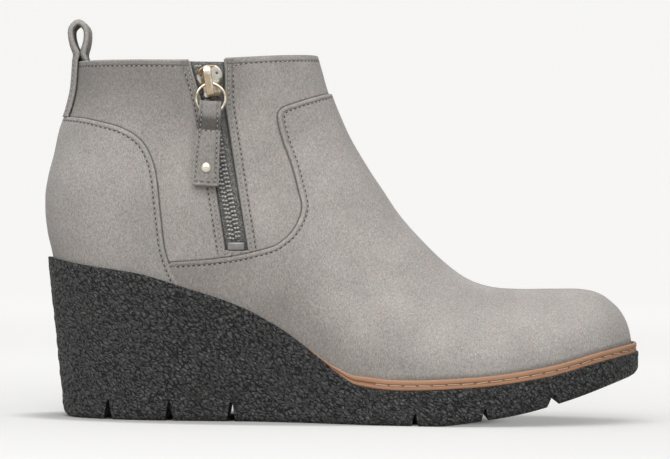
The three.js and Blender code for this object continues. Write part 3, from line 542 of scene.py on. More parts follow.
pebble = ramp(crepe, cells.outputs["Distance"], 0.0, 0.24)
worm = ramp(crepe, worms.outputs["Fac"], 0.34, 0.62)
height = math_node(crepe, "MULTIPLY_ADD", pebble, 0.62, times(crepe, worm, 0.38))
pores = speckle(crepe, point, 2.4, 3.0, 0.6)
# Groove marks where the rubber's colour gets painted shade
crepe.links.new(ramp(crepe, height, 0.47, 0.25), out["Groove"])
crepe.links.new(math_node(crepe, "MULTIPLY_ADD", pores, 0.06, height), out["Height"])
crepe.links.new(ramp(crepe, speckle(crepe, point, 0.03, 3.0, 0.6), 0.42, 0.7), out["Dust"])
print("crepe nodes:", len(crepe.nodes))

# %% [markdown]
# ## Handling
# Metal and smooth plastic that hands touch get hair scratches along one way, and smudges. The coil
# and the plated metal both need them, so they are a group too.

# %% Handling group
wear, given, out = node_group("handling", [("Amount", FLOAT, 1.0)], [("Height", FLOAT), ("Smudge", FLOAT)])
hair = speckle(wear, object_point(wear, (5200, 900, 700)), 1.0)
wear.links.new(times(wear, hair, given["Amount"]), out["Height"])
wear.links.new(speckle(wear, object_point(wear), 0.6, 4.0), out["Smudge"])
print("groups:", [group.name for group in bpy.data.node_groups])

# %% Start of a material, and its bump
def material(name, base, roughness, **values):
    """A new material with its plain values set; returns it with its node tree and its shader."""
    made = bpy.data.materials.new(name)
    made.use_nodes = True
    shader = made.node_tree.nodes["Principled BSDF"]
    shader.inputs["Base Color"].default_value = (*base, 1)
    shader.inputs["Roughness"].default_value = roughness
    for key, value in values.items():
        shader.inputs[key.replace("_", " ")].default_value = value
    return made, made.node_tree, shader


def bump(tree, shader, height, distance, strength=1.0, below=None):
    """Lets a height tilt the light on a surface, on top of the bump below."""
    node = add(tree, "ShaderNodeBump", {"Height": height, "Distance": distance, "Strength": strength})
    if below is not None:
        tree.links.new(below, node.inputs["Normal"])
    tree.links.new(node.outputs["Normal"], shader.inputs["Normal"])
    return node.outputs["Normal"]


print("material helpers ready")

# %% [markdown]
# ## Suede
# All the suede is one hide, but each panel takes the light a little differently, and shade is painted
# into its colour in known places: a painted shadow along an overlay's edge, painted shade low on the
# foot, strongest at the waist and heel, and painted shade towards the collar. A narrow band just above
# the welt is darker too. One function makes them all from the nap and seam groups, with the places as
# its arguments.

# %% Suede
seam_shade_tone, pale_edge_tone, shadow_tone = (0.42, 0.41, 0.4), (1.3, 1.29, 1.27), (0.2, 0.195, 0.19)
welt_fringe_tone, waist_shade_tone = (0.3, 0.29, 0.28), (0.7, 0.69, 0.68)


def suede(name, base, seams=(), shade_up=None, tucked=None, footed=0.0):
    """Napped suede. seams lists (measure, row distance in mm, darkness) of each sewn line.

    shade_up gives the heights in millimetres between which painted shade darkens the colour, the share of
    light left there and how much of that holds in front of the zip. tucked names the measure of what lies
    under an overlay, which places a painted shadow along its edge, and footed is the strength of the
    painted shade at the waist; it also brings a darker band just above the welt.
    """
    made, tree, shader = material(name, base, 0.93, Sheen_Weight=0.16, Sheen_Roughness=0.5,
                                  Specular_IOR_Level=0.1)
    fibre = add(tree, "ShaderNodeGroup", {"Base": (*base, 1)}, node_tree=nap)
    colour, channel = fibre.outputs["Colour"], None
    for attribute, row, darkness in seams:
        links = {"Distance": measure(tree, attribute), "Row": row}
        line = add(tree, "ShaderNodeGroup", links, node_tree=seam)
        low = line.outputs["Channel"]
        # painted shade in the seam's channel, and a paler colour towards the cut edge
        colour = toned(tree, times(tree, low, darkness), colour, seam_shade_tone)
        colour = toned(tree, times(tree, line.outputs["Edge"], 0.5), colour, pale_edge_tone)
        channel = low if channel is None else math_node(tree, "MAXIMUM", channel, low)
    if tucked:
        # painted shadow along an overlay's edge, or under the tab's fold
        under = ramp(tree, measure(tree, tucked), -1.0, -0.1)
        colour = toned(tree, times(tree, under, 0.78), colour, shadow_tone)
    place = add(tree, "ShaderNodeSeparateXYZ", {0: object_point(tree)})
    x, z = place.outputs["X"], place.outputs["Z"]
    if footed:
        height = measure(tree, "foot_mm")
        # the colour darkens in a narrow band just above the welt at the forefoot
        welt_fringe = times(tree, ramp(tree, height, 6.9, 4.6), ramp(tree, x, 0, 40, 0, 0.5))
        colour = toned(tree, welt_fringe, colour, welt_fringe_tone)
        # painted shade low on the foot, strongest towards the heel
        waist = times(tree, ramp(tree, height, 42, 6), ramp(tree, x, 70, -20, 0, footed))
        colour = toned(tree, waist, colour, waist_shade_tone)
    # painted shade: the colour darkens towards the top, more behind the zip than in front
    if shade_up:
        low, high, share, in_front = shade_up
        up = times(tree, ramp(tree, z, low, high), ramp(tree, x, -60, -30, 1, in_front))
        colour = toned(tree, up, colour, (share, share, share))
    tree.links.new(colour, shader.inputs["Base Color"])
    normal = None
    if channel is not None:
        normal = bump(tree, shader, math_node(tree, "SUBTRACT", 1.0, channel), 0.0005, 0.9)
    bump(tree, shader, fibre.outputs["Height"], 0.0003, 0.7, normal)
    return made


suede_shaft = suede("suede_shaft", (0.28, 0.263, 0.246),
                    [("slot_mm", 1.4, 0.15), ("slot_mm", 3.2, 0.3), ("collar_mm", 2.1, 0.3)],
                    shade_up=(116, 143, 0.64, 0.1), tucked="under_mm")
suede_vamp = suede("suede_vamp", (0.303, 0.285, 0.268), [("edge_mm", 2.0, 0.35)],
                   shade_up=(92, 122, 0.86, 1), footed=1.0)
suede_counter = suede("suede_counter", (0.283, 0.268, 0.253), [("edge_mm", 2.0, 0.35)], footed=0.4)
suede_strap = suede("suede_strap", (0.235, 0.222, 0.207), [("edge_mm", 1.7, 0.3)])
suede_tab = suede("suede_tab", (0.225, 0.212, 0.197), [("edge_mm", 1.3, 0.3)], tucked="under_mm")
suede_edge = suede("suede_edge", (0.25, 0.236, 0.22))
suedes = (suede_shaft, suede_vamp, suede_counter, suede_strap, suede_tab, suede_edge)
print("suedes:", [finish.name for finish in suedes])

# %% [markdown]
# ## Lining, rubber and welt
# The lining is a brushed knit: a wavy pattern under fuzz. The rubber is charcoal, matt with dust on
# its pebbles and painted shade in its grooves. The welt is a tan moulded strip with a faint leather grain;
# its mesh says where its groove gets painted shade and where its top gets a painted highlight.

# %% Lining, crepe rubber and welt
lining, tree, shader = material("lining_knit", (0.17, 0.16, 0.15), 0.95, Sheen_Weight=0.2)
point = object_point(tree)
knit = add(tree, "ShaderNodeTexWave", {"Vector": point, "Scale": 0.55, "Distortion": 1.5, "Detail": 2.0})
fuzz = speckle(tree, point, 1.8, 4.0)
tree.links.new(mix(tree, fuzz, (0.13, 0.122, 0.114), (0.2, 0.188, 0.175)), shader.inputs["Base Color"])
bump(tree, shader, math_node(tree, "ADD", knit.outputs["Fac"], fuzz), 0.00025, 0.6)

rubber, tree, shader = material("crepe_rubber", (0.03, 0.032, 0.031), 0.55, Specular_IOR_Level=0.45)
grains = add(tree, "ShaderNodeGroup", {"Scale": 1.1}, node_tree=crepe)
# painted shade in the crepe's grooves
colour = mix(tree, grains.outputs["Groove"], (0.052, 0.054, 0.0525), (0.0022, 0.0024, 0.0023))
colour = mix(tree, times(tree, grains.outputs["Dust"], 0.2), colour, (0.06, 0.062, 0.058))
tree.links.new(colour, shader.inputs["Base Color"])
tree.links.new(ramp(tree, grains.outputs["Height"], 0.3, 0.85, 0.8, 0.36), shader.inputs["Roughness"])
bump(tree, shader, grains.outputs["Height"], 0.002, 1.0)

tan, tree, shader = material("welt_tan", (0.33, 0.165, 0.1), 0.55, Specular_IOR_Level=0.35)
point = object_point(tree)
skin = add(tree, "ShaderNodeTexVoronoi", {"Vector": point, "Scale": 1.6}, feature="DISTANCE_TO_EDGE")
colour = mix(tree, speckle(tree, point, 0.16, 3.0), (0.27, 0.138, 0.076), (0.345, 0.184, 0.106))
# painted shade in the welt's groove, and a painted highlight along its top
colour = mix(tree, times(tree, measure(tree, "groove_shade"), 0.55), colour, (0.15, 0.066, 0.036))
colour = mix(tree, times(tree, measure(tree, "top"), 0.3), colour, (0.46, 0.29, 0.195))
tree.links.new(colour, shader.inputs["Base Color"])
bump(tree, shader, ramp(tree, skin.outputs["Distance"], 0.0, 0.12), 0.0001, 0.5)
print("made:", lining.name, rubber.name, tan.name)

# %% [markdown]
# ## Thread and zip
# Sewing thread is twisted, so a wave darkens it in turns. The zip's tape is woven in ribs, with painted
# shadow along the slot's edges, its coil is dull plastic with rubbed tops, and its metal is plated: bright
# where it mirrors a lamp and brown where it mirrors the dark of the room, a painted reflection that a
# slow noise over the metal lays into its colour.

# %% Thread, tape and coil
def thread(name, base):
    """Twisted sewing thread with a dull shine."""
    made, tree, shader = material(name, base, 0.6, Specular_IOR_Level=0.3)
    twist = add(tree, "ShaderNodeTexWave", {"Vector": object_point(tree), "Scale": 2.2, "Distortion": 2.0,
                                            "Detail": 1.0}).outputs["Fac"]
    dark = tuple(0.72 * level for level in base)
    tree.links.new(mix(tree, twist, dark, base), shader.inputs["Base Color"])
    bump(tree, shader, twist, 0.0001, 0.6)
    return made


grey_thread = thread("grey_thread", (0.4, 0.385, 0.36))
needle_hole_shadow = thread("needle_hole_shadow", (0.013, 0.012, 0.011))
tan_thread = thread("tan_thread", (0.62, 0.45, 0.34))

tape_weave, tree, shader = material("tape_weave", (0.08, 0.078, 0.074), 0.9, Sheen_Weight=0.1)
point = object_point(tree)
rib = add(tree, "ShaderNodeTexWave", {"Vector": point, "Scale": 0.62, "Distortion": 0.8, "Detail": 1.0},
          wave_type="BANDS", bands_direction="DIAGONAL")
weave = times(tree, rib.outputs["Fac"], ramp(tree, speckle(tree, point, 1.5, 3.0), 0.35, 0.65))
colour = mix(tree, weave, (0.075, 0.074, 0.07), (0.36, 0.353, 0.335))
# painted shadow along the slot's edges, where the tape lies under the suede
colour = mix(tree, times(tree, measure(tree, "tuck"), 0.7), colour, (0.012, 0.012, 0.011))
tree.links.new(colour, shader.inputs["Base Color"])
bump(tree, shader, weave, 0.0003, 0.8)

coil_plastic, tree, shader = material("coil_plastic", (0.25, 0.245, 0.235), 0.5)
hands = add(tree, "ShaderNodeGroup", node_tree=wear)
colour = mix(tree, hands.outputs["Smudge"], (0.26, 0.255, 0.24), (0.46, 0.45, 0.425))
tree.links.new(colour, shader.inputs["Base Color"])
bump(tree, shader, hands.outputs["Height"], 0.00004, 0.5)
print("made:", grey_thread.name, tape_weave.name, coil_plastic.name)

# %% Plated metal
def plating(name, base, rough, dark_reflection):
    """Plated metal, its colour turned by a slow noise between its bright and its brown tone as a painted
    reflection, and rougher where hands have smudged it.
    """
    made, tree, shader = material(name, base, rough, Metallic=1.0)
    hands = add(tree, "ShaderNodeGroup", node_tree=wear)
    # painted reflection: a slow noise turns the colour between the bright and the dark tone
    painted_reflection = ramp(tree, speckle(tree, object_point(tree), 0.3, 0.5), 0.4, 0.62)
    tree.links.new(mix(tree, painted_reflection, dark_reflection, base), shader.inputs["Base Color"])
    smudged = ramp(tree, hands.outputs["Smudge"], 0.3, 0.75, rough * 0.85, rough * 1.3)
    tree.links.new(smudged, shader.inputs["Roughness"])
    bump(tree, shader, hands.outputs["Height"], 0.00002, 0.4)
    return made


gold = plating("pale_gold", (0.9, 0.82, 0.7), 0.22, (0.62, 0.5, 0.35))
champagne = plating("champagne", (0.7, 0.67, 0.6), 0.22, (0.22, 0.165, 0.1))
hole_shadow_metal = plating("hole_shadow_metal", (0.12, 0.1, 0.075), 0.4, (0.08, 0.065, 0.05))
stop_grey = plating("dull_stop", (0.27, 0.266, 0.258), 0.5, (0.23, 0.226, 0.22))
print("materials:", len(bpy.data.materials))

# %% [markdown]
# ## The fine grid
# Everything on the upper starts from one grid. Rows run from the ridge down to the sole, and straight
# back above the zip's foot, so that the zip slot and the collar fall on grid lines and need no cut.
# Columns lie closer together near the ridge and the back, where the surface turns quickly.

# %% Zip line, collar line and the ends of the rows
seat_lift = gap - cup_depth
back_seat = float(back_at(heel_height - cup_depth))
tip = int(np.argmax(ridge[:, 1] > sole_line(ridge[:, 0]) + seat_lift))
zip_low, zip_high, zip_lean = 70.0, 150.0, 0.169
slot_low_width, slot_high_width, slot_flare = 9.6, 14.4, 22
foot_i = int(np.argmax((ridge[:, 1] > zip_low) & (ridge[:, 0] < 60)))
front_z = collar_height * 1.013
edge_roll, edge_drop = 0.5, 0.6  # how far the suede rolls over at an edge, and stops below the collar
low_rows, high_rows = 176, 74
front_steps, slot_steps, back_steps = 74, 8, 52
steps = front_steps + slot_steps + back_steps


def collar_at(x):
    return collar_height * track([0, .2, .45], [.987, .987, 1.013])(station_of(x))


def zip_x(z):
    return float(x_at(.3232)) - (z - zip_low) * zip_lean


def slot_half(z):
    wider = (slot_high_width - slot_low_width) * smooth(z, zip_high - slot_flare, zip_high)
    return (slot_low_width + wider) / 2


turn = (1 - np.cos(np.linspace(0, math.pi, low_rows - 5))) / 2
seat_x = ridge[tip, 0] + (back_seat - ridge[tip, 0]) * turn
seat_path = np.stack([seat_x, sole_line(seat_x) + seat_lift], 1)
up_z = np.linspace(seat_path[-1, 1], zip_low, 7)[1:-1]
low_ends = np.concatenate([seat_path, np.stack([back_at(up_z), up_z], 1)])
low_tops = respaced(ridge[tip:foot_i + 1], low_rows + 1)[:-1]
low_tops[0] = low_ends[0]
high_share = np.linspace(0, 1, high_rows)
back_top = float(collar_at(back_at(149.0))) - edge_drop
row_front_z = zip_low + (front_z - edge_drop - zip_low) * high_share
row_back_z = zip_low + (back_top - zip_low) * high_share
front_x = np.interp(row_front_z, ridge[foot_i - 3:, 1], ridge[foot_i - 3:, 0])
tops = np.concatenate([low_tops, np.stack([front_x, row_front_z], 1)])
ends = np.concatenate([low_ends, np.stack([back_at(row_back_z), row_back_z], 1)])
rows = len(tops)
print("rows:", rows, "points to a side:", steps + 1)

# %% Points of the grid, seen from the side
def row_height(i, x):
    """Height of row i at x: a straight line, bent to the collar's curve at the top."""
    t = (tops[i, 0] - x) / (tops[i, 0] - ends[i, 0])
    z = tops[i, 1] + (ends[i, 1] - tops[i, 1]) * t
    straight_top = front_z - edge_drop + (back_top - front_z + edge_drop) * t
    return z + (collar_at(x) - edge_drop - straight_top) * smooth(z, 118, 149)


def slot_shares(i):
    """Where the zip slot's two edges lie along row i, as shares of the row."""
    found = []
    for side in (1, -1):
        x = zip_x(tops[i, 1])
        for _ in range(6):
            z = row_height(i, x)
            x = zip_x(z) + side * (slot_half(z) + edge_roll)
        found.append((tops[i, 0] - x) / (tops[i, 0] - ends[i, 0]))
    return np.array(found)


near_front = 1 - np.cos(np.linspace(0, math.pi / 2, front_steps + 1))
near_back = np.sin(np.linspace(0, math.pi / 2, back_steps + 1))
even_back = np.linspace(0, 1, back_steps + 1)
even_shares = np.array([front_steps / steps, (front_steps + slot_steps) / steps])
first_shares = slot_shares(low_rows)
grid_x, grid_z = np.zeros((rows, steps + 1)), np.zeros((rows, steps + 1))
for i in range(rows):
    if i >= low_rows:
        start, stop = slot_shares(i)
        backness = 1.0
    else:
        start, stop = even_shares + (first_shares - even_shares) * smooth(i / low_rows, 0.45, 1.0)
        backness = float(smooth(i / low_rows, 0.7, 0.97))
    third = near_back * backness + even_back * (1 - backness)
    t = np.concatenate([start * near_front,
                        (start + (stop - start) * np.linspace(0, 1, slot_steps + 1))[1:],
                        (stop + (1 - stop) * third)[1:]])
    grid_x[i] = tops[i, 0] + (ends[i, 0] - tops[i, 0]) * t
    grid_z[i] = row_height(i, grid_x[i]) if i >= low_rows else tops[i, 1] + (ends[i, 1] - tops[i, 1]) * t
print("slot edges at its foot, shares of the row:", first_shares.round(3))

# %% The grid on both sides of the last, with its normals
base = np.concatenate([surface(grid_x, grid_z, -1)[:, ::-1], surface(grid_x, grid_z, 1)[:, 1:]], 1)
columns = base.shape[1]
base_points = base.reshape(-1, 3)
base_quads = grid_faces(rows, columns)
cell_i, cell_j = base_quads[:, 0] // columns, base_quads[:, 0] % columns
in_slot = (cell_i >= low_rows) & (cell_j >= back_steps) & (cell_j < back_steps + slot_steps)
base_tris = split(base_quads)
welded, welded_tris, _ = weld(base_points, base_tris)
normal = normals_of(welded, welded_tris)
out_sign = 1.0 if (normal * (welded - welded.mean(0))).sum() > 0 else -1.0
normal *= out_sign
point_of = {tuple(k): n for n, k in enumerate(np.round(welded / 1e-3).astype(np.int64).tolist())}
base_normal = normal[[point_of[tuple(k)] for k in np.round(base_points / 1e-3).astype(np.int64).tolist()]]
print("grid:", rows, "x", columns, "triangles", len(base_tris), "facing", out_sign)

# %% [markdown]
# ## Creases
# Worn suede is never quite even: it has soft folds where the ankle bends, at the instep and over the
# zip's foot. They could come from a cloth simulation, but glued leather hardly moves, so each main
# fold is listed as a trough or ridge, and a gentle noise adds the rest.

# %% Creases
creases = [
    # x, z, length, angle in degrees, width, depth: soft troughs (+) and ridges (-), side view mm
    (8, 118, 30, -58, 5.0, 0.55), (17, 98, 34, -50, 6.5, -0.4), (27, 84, 40, -42, 6.0, 0.5),
    (52, 62, 30, -20, 7.0, 0.35), (70, 58, 26, -8, 6.0, -0.25), (-22, 92, 22, 62, 6.0, 0.35),
    (-92, 136, 26, 12, 6.0, 0.3), (-100, 92, 30, 80, 8.0, 0.4), (-26, 62, 40, -18, 7.0, 0.4),
    (-66, 108, 24, 84, 5.0, 0.3), (88, 40, 36, 12, 9.0, 0.25),
]


def relief(points):
    """How far the suede is pushed in (-) or out (+) of the last's form, in mm."""
    x, z = points[:, 0], points[:, 2]
    total = noise(points, 34, 3) * 0.28 + noise(points, 13, 4) * 0.1
    for cx, cz, length, angle, width, depth in creases:
        a = math.radians(angle)
        along = (x - cx) * math.cos(a) + (z - cz) * math.sin(a)
        over = -(x - cx) * math.sin(a) + (z - cz) * math.cos(a)
        total -= depth * np.exp(-(along / length * 1.6) ** 2 - (over / width) ** 2)
    return total * smooth(z - sole_line(x), 2, 12)


moved = relief(base_points)
print("relief from", moved.min().round(2), "to", moved.max().round(2), "mm")

# %% [markdown]
# ## Panel edges
# The vamp and the counter are overlays, cut by a curve and sewn down. A curve here is a handful of
# points read off the side view. Its side view distance says where to cut, and the true distance over
# the surface goes to the seam group.

# %% Edges of the overlays, and what lies inside the upper's outline
def edge_curve(table, count):
    """A smooth line through (station, share of the collar's height) pairs."""
    return spline([(float(x_at(s)), collar_height * h) for s, h in table], count)


counter_line = edge_curve([(-.04, .834), (.048, .828), (.093, .815), (.134, .795), (.166, .757),
                           (.186, .684), (.196, .56), (.205, .46), (.226, .374), (.26, .28)], 240)
vamp_line = edge_curve([(.55, .925), (.478, .908), (.409, .871), (.391, .855), (.387, .832),
                        (.395, .777), (.412, .703), (.424, .635), (.43, .586), (.42, .536),
                        (.401, .498), (.37, .472), (.28, .442), (.1, .42)], 360)


def signed(x, z, line, side):
    """Side view distance to a line, positive on its chosen side (+1 is its left)."""
    p = np.stack([x, z], 1)
    best, sign = np.full(len(p), 1e9), np.ones(len(p))
    for a, b in zip(line[:-1], line[1:]):
        way = b - a
        t = np.clip(((p - a) @ way) / (way @ way), 0, 1)
        r = p - a - t[:, None] * way
        dist = np.hypot(r[:, 0], r[:, 1])
        closer = dist < best
        best[closer] = dist[closer]
        left = way[0] * (p[:, 1] - a[1]) - way[1] * (p[:, 0] - a[0])
        sign[closer] = np.sign(left[closer])
    return best * sign * side


def inside_outline(line_xz, margin=0.0):
    """Which points of a side view line lie on the upper, a margin in from its outline."""
    x, z = line_xz[:, 0], line_xz[:, 1]
    top = np.interp(x, ridge[::-1, 0], ridge[::-1, 1])
    front = np.interp(z, ridge[foot_i - 3:, 1], ridge[foot_i - 3:, 0], left=999)
    inside = (x > back_at(z) + margin) & np.where(z > zip_low, x < front - margin, z < top - margin)
    return inside & (z > sole_line(x) - cup_depth)


def on_skin(line_xz, side, lift):
    """A side view line laid on the last at a height above it, with its normals."""
    x, z = line_xz[:, 0], line_xz[:, 1]
    p, n = surface(x, z, side), skin_normal(x, z, side, 0.4)
    return p + n * (lift + relief(p))[:, None], n


counter_in = signed(base_points[:, 0], base_points[:, 2], counter_line, -1)
vamp_in = signed(base_points[:, 0], base_points[:, 2], vamp_line, 1)
print("points on the counter:", int((counter_in > 0).sum()), "on the vamp:", int((vamp_in > 0).sum()))

# %% Distances over the surface to each edge
far_mm, near_mm = 20.0, 14  # what a point far from an edge reads, and how far off an edge is measured


def distance_to(targets, near):
    """Distance to the nearest target for the grid points that are near, and far_mm for the rest."""
    tree = KDTree(len(targets))
    for k, target in enumerate(targets):
        tree.insert(target, k)
    tree.balance()
    found = np.full(len(base_points), far_mm)
    found[near] = [tree.find(p)[2] for p in base_points[near]]
    return found


def on_both_sides(line):
    return np.concatenate([on_skin(line[inside_outline(line)], side, 0)[0] for side in (-1, 1)])


slot_z = np.linspace(zip_low, 152, 160)
slot_edges = [np.stack([zip_x(slot_z) + side * slot_half(slot_z), slot_z], 1) for side in (1, -1)]
slot_points = np.concatenate([on_skin(edge, -1, 0)[0] for edge in slot_edges])
x, y, z = base_points.T
counter_mm = distance_to(on_both_sides(counter_line), np.abs(counter_in) < near_mm)
vamp_mm = distance_to(on_both_sides(vamp_line), np.abs(vamp_in) < near_mm)
collar_mm = distance_to(base[-1], z > 132)
slot_mm = distance_to(slot_points, (np.abs(x - zip_x(z)) < 20) & (y < 0) & (z > 60))
foot_mm = z - sole_line(x)
print("nearest point to the slot:", slot_mm.min().round(2), "mm")

# %% [markdown]
# ## Vamp and counter
# An overlay is 1.2 mm of suede on top of the shaft, with its cut edge rolled over and pressed down.
# A Solidify modifier would give it a square edge, so the roll is made of four rings of points that
# turn from the panel's surface down to the shaft.

# %% Rolled edges
roll_degrees = (30, 60, 90)


def facing(tris):
    return tris if out_sign > 0 else tris[:, ::-1]


def lifted(lift):
    return base_points + base_normal * (lift + moved)[:, None]


def unit(vectors):
    return vectors / np.maximum(1e-9, np.linalg.norm(vectors, axis=1, keepdims=True))


def roll_edges(points, tris, edges, away, out, drop):
    """Rounds an open edge over and down: away points off the panel, out points out of the boot."""
    ids = np.unique(edges)
    local = np.searchsorted(ids, edges)
    rings, new_points, new_tris = [ids], [], []
    turns = [(degrees, 0) for degrees in roll_degrees] + [(roll_degrees[-1], drop)]
    for k, (degrees, deeper) in enumerate(turns):
        a = math.radians(degrees)
        down = edge_roll * (1 - math.cos(a)) + deeper
        new_points.append(points[ids] + away[ids] * edge_roll * math.sin(a) - out[ids] * down)
        rings.append(len(points) + k * len(ids) + np.arange(len(ids)))
    for lower, upper in zip(rings[:-1], rings[1:]):
        for a, b in local:
            new_tris += [[lower[b], lower[a], upper[a]], [lower[b], upper[a], upper[b]]]
    return np.concatenate([points, *new_points]), np.concatenate([tris, np.array(new_tris, int)]), ids


print("rings round an overlay's edge:", len(roll_degrees) + 1)

# %% Vamp and counter
def gradient_of(field):
    """Side view direction in which a field over the grid grows, by finite steps."""
    fi, fj = np.gradient(field.reshape(rows, columns))
    xi, xj = np.gradient(base[..., 0])
    zi, zj = np.gradient(base[..., 2])
    area = xi * zj - xj * zi
    area = np.where(np.abs(area) < 1e-6, 1e-6, area)
    gx, gz = (fi * zj - fj * zi) / area, (fj * xi - fi * xj) / area
    size = np.maximum(1e-6, np.hypot(gx, gz))
    return (gx / size).reshape(-1), (gz / size).reshape(-1)


def panel(name, lift, field, finish, edge_mm):
    """A suede overlay: the grid lifted, cut along a field, with a rolled edge."""
    carried = {"edge_mm": edge_mm, "foot_mm": foot_mm}
    carried["nx"], carried["ny"], carried["nz"] = base_normal.T
    carried["gx"], carried["gz"] = gradient_of(field)
    points, tris, kept = cut(lifted(lift), facing(base_tris), field, carried)
    out = unit(np.stack([kept.pop("nx"), kept.pop("ny"), kept.pop("nz")], 1))
    inward = np.stack([kept.pop("gx"), np.zeros(len(points)), kept.pop("gz")], 1)
    inward = unit(inward - out * (inward * out).sum(1, keepdims=True))
    on_cut = kept.pop("on_cut") > 0.5
    rim = rim_loops(tris)
    rim = rim[on_cut[rim].all(1)]
    points, tris, ids = roll_edges(points, tris, rim, -inward, out, overlay_step)
    rings = len(roll_degrees) + 1
    kept = {key: np.concatenate([values, np.tile(values[ids], rings)]) for key, values in kept.items()}
    return put(name, points + offset, tris, finish, extra=kept)


vamp_piece = panel("vamp_suede", overlay_step, np.minimum(vamp_in - edge_roll, -counter_in - 0.1),
                   suede_vamp, vamp_mm)
counter_piece = panel("counter_suede", overlay_step + 0.1, counter_in - edge_roll, suede_counter, counter_mm)
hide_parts("heel_counter")
print("panel triangles:", len(vamp_piece.data.polygons), len(counter_piece.data.polygons))

# %% [markdown]
# ## Shaft and lining
# The shaft is one layer, open at the zip slot, and runs under the overlays only as far as their edges
# need. The lining is the same grid, a wall's thickness further in and smoother.

# %% Shaft and lining
under_overlay = 4.0
slot_open = facing(base_tris[~np.concatenate([in_slot, in_slot])])
# under_mm places the painted shadow on the shaft along the overlays' edges
carried = {"slot_mm": slot_mm, "collar_mm": collar_mm, "under_mm": np.maximum(vamp_in, counter_in)}
shaft_keep = np.minimum(under_overlay - vamp_in, under_overlay - counter_in)
shaft_points, shaft_tris, kept = cut(lifted(0.0), slot_open, shaft_keep, carried)
kept.pop("on_cut")
shaft_piece = put("shaft_suede", shaft_points + offset, shaft_tris, suede_shaft,
                  extra=kept)
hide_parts("upper")

lining_surface = base_points + base_normal * (moved * 0.5 - wall)[:, None]
lining_points, lining_tris, _ = weld(lining_surface, slot_open[:, ::-1])
put("lining", lining_points + offset, lining_tris, lining)
print("shaft and lining triangles:", len(shaft_tris), len(lining_tris))

# %% [markdown]
# ## Folded edges
# At the collar and along the slot the suede is turned in and sewn to the lining. Each folded edge is
# a half round swept from the suede's edge over to the lining's, which closes the wall.

# %% Folded edges at the collar and the zip slot
fold_rings, fold_height = 9, 0.72


def edge_strip(name, outer, inner, away):
    """A half round from the suede's edge over to the lining's, standing proud in the way given."""
    mid, half = (outer + inner) / 2, (outer - inner) / 2
    rise = np.linalg.norm(half, axis=1, keepdims=True) * fold_height
    grid = np.concatenate([mid + half * math.cos(a) + away * rise * math.sin(a)
                           for a in np.linspace(0, math.pi, fold_rings)])
    tris = split(grid_faces(fold_rings, len(mid)))
    points, folded, _ = weld(grid, tris)
    outward = ((grid - np.tile(mid, (fold_rings, 1))) * normals_of(grid, tris)).sum()
    put(name, points + offset, folded if outward > 0 else folded[:, ::-1], suede_edge,
        extra={"edge_mm": np.full(len(points), 9.0)})


skin_grid, lining_grid = lifted(0.0).reshape(rows, columns, 3), lining_surface.reshape(rows, columns, 3)
slot_end = back_steps + slot_steps
up = np.array([0.0, 0.0, 1.0])
collar_parts = {"collar_edge_back": slice(0, back_steps + 1), "collar_edge_front": slice(slot_end, None)}
for name, part in collar_parts.items():
    edge_strip(name, skin_grid[-1, part], lining_grid[-1, part], up)
for name, column, way in (("slot_edge_back", back_steps, 1.0), ("slot_edge_front", slot_end, -1.0)):
    away = np.array([way, 0.0, -0.17 * way])
    edge_strip(name, skin_grid[low_rows:, column], lining_grid[low_rows:, column], away)
bottom = slice(back_steps, slot_end + 1)
edge_strip("slot_edge_foot", skin_grid[low_rows, bottom], lining_grid[low_rows, bottom], up)
print("edges folded: 5")

# %% [markdown]
# ## Sole
# The wedge is one moulded unit. Its side follows the last's outline at the sole line, so that outline
# is taken first, evenly spaced, with the way out at each point. The side is then a stack of rings
# from the tread to the rim, with real crepe lumps pushed in and out of it.

# %% Outline in plan
ring_count = 720
front_at_line = float(ridge[np.argmax(ridge[:, 1] > sole_line(ridge[:, 0])), 0])
back_at_line = float(back_at(heel_height))
half_turn = (1 - np.cos(np.linspace(0, math.pi, 900))) / 2
plan_x = back_at_line + (front_at_line - back_at_line) * half_turn
outer_ring, inner_ring = (respaced(surface(plan_x, sole_line(plan_x), side)[:, :2], ring_count // 2 + 1)
                          for side in (-1, 1))
ring = np.concatenate([outer_ring, inner_ring[-2:0:-1]])
along_ring = np.roll(ring, -1, 0) - np.roll(ring, 1, 0)
along_ring /= np.linalg.norm(along_ring, axis=1, keepdims=True)
ring_out = np.stack([along_ring[:, 1], -along_ring[:, 0]], 1)
for _ in range(6):
    ring_out = ring_out + np.roll(ring_out, 1, 0) + np.roll(ring_out, -1, 0)
    ring_out /= np.linalg.norm(ring_out, axis=1, keepdims=True)
print("outline points:", len(ring))

# %% Levels of the sole's side
edge_radius, rim_radius, side_levels = 3.0, 0.8, 60
side_draft, back_draft = 0.042, 0.12  # how far the wedge widens for each millimetre down


def drafted(x, out, z):
    """How far the sole's side stands out at a height below its rim."""
    fade = 1 - smooth(station_of(x), 0.35, 0.6)
    slope = fade * (side_draft + (back_draft - side_draft) * np.maximum(0, -out[:, 0]))
    return slope * np.maximum(0, sole_line(x) - z)


def side_height(x, share, rise):
    """Height on the side: share 0 is above the tread's round edge, 1 below the rim's."""
    low = tread_at(x) + edge_radius
    return low + (sole_line(x) - rim_radius - low) * share + rise


def sole_level(share, rise, inset):
    out = rim_out - inset - drafted(ring[:, 0], ring_out, side_height(ring[:, 0], share, rise))
    flat = ring + ring_out * out[:, None]
    return np.column_stack([flat, side_height(flat[:, 0], share, rise)])


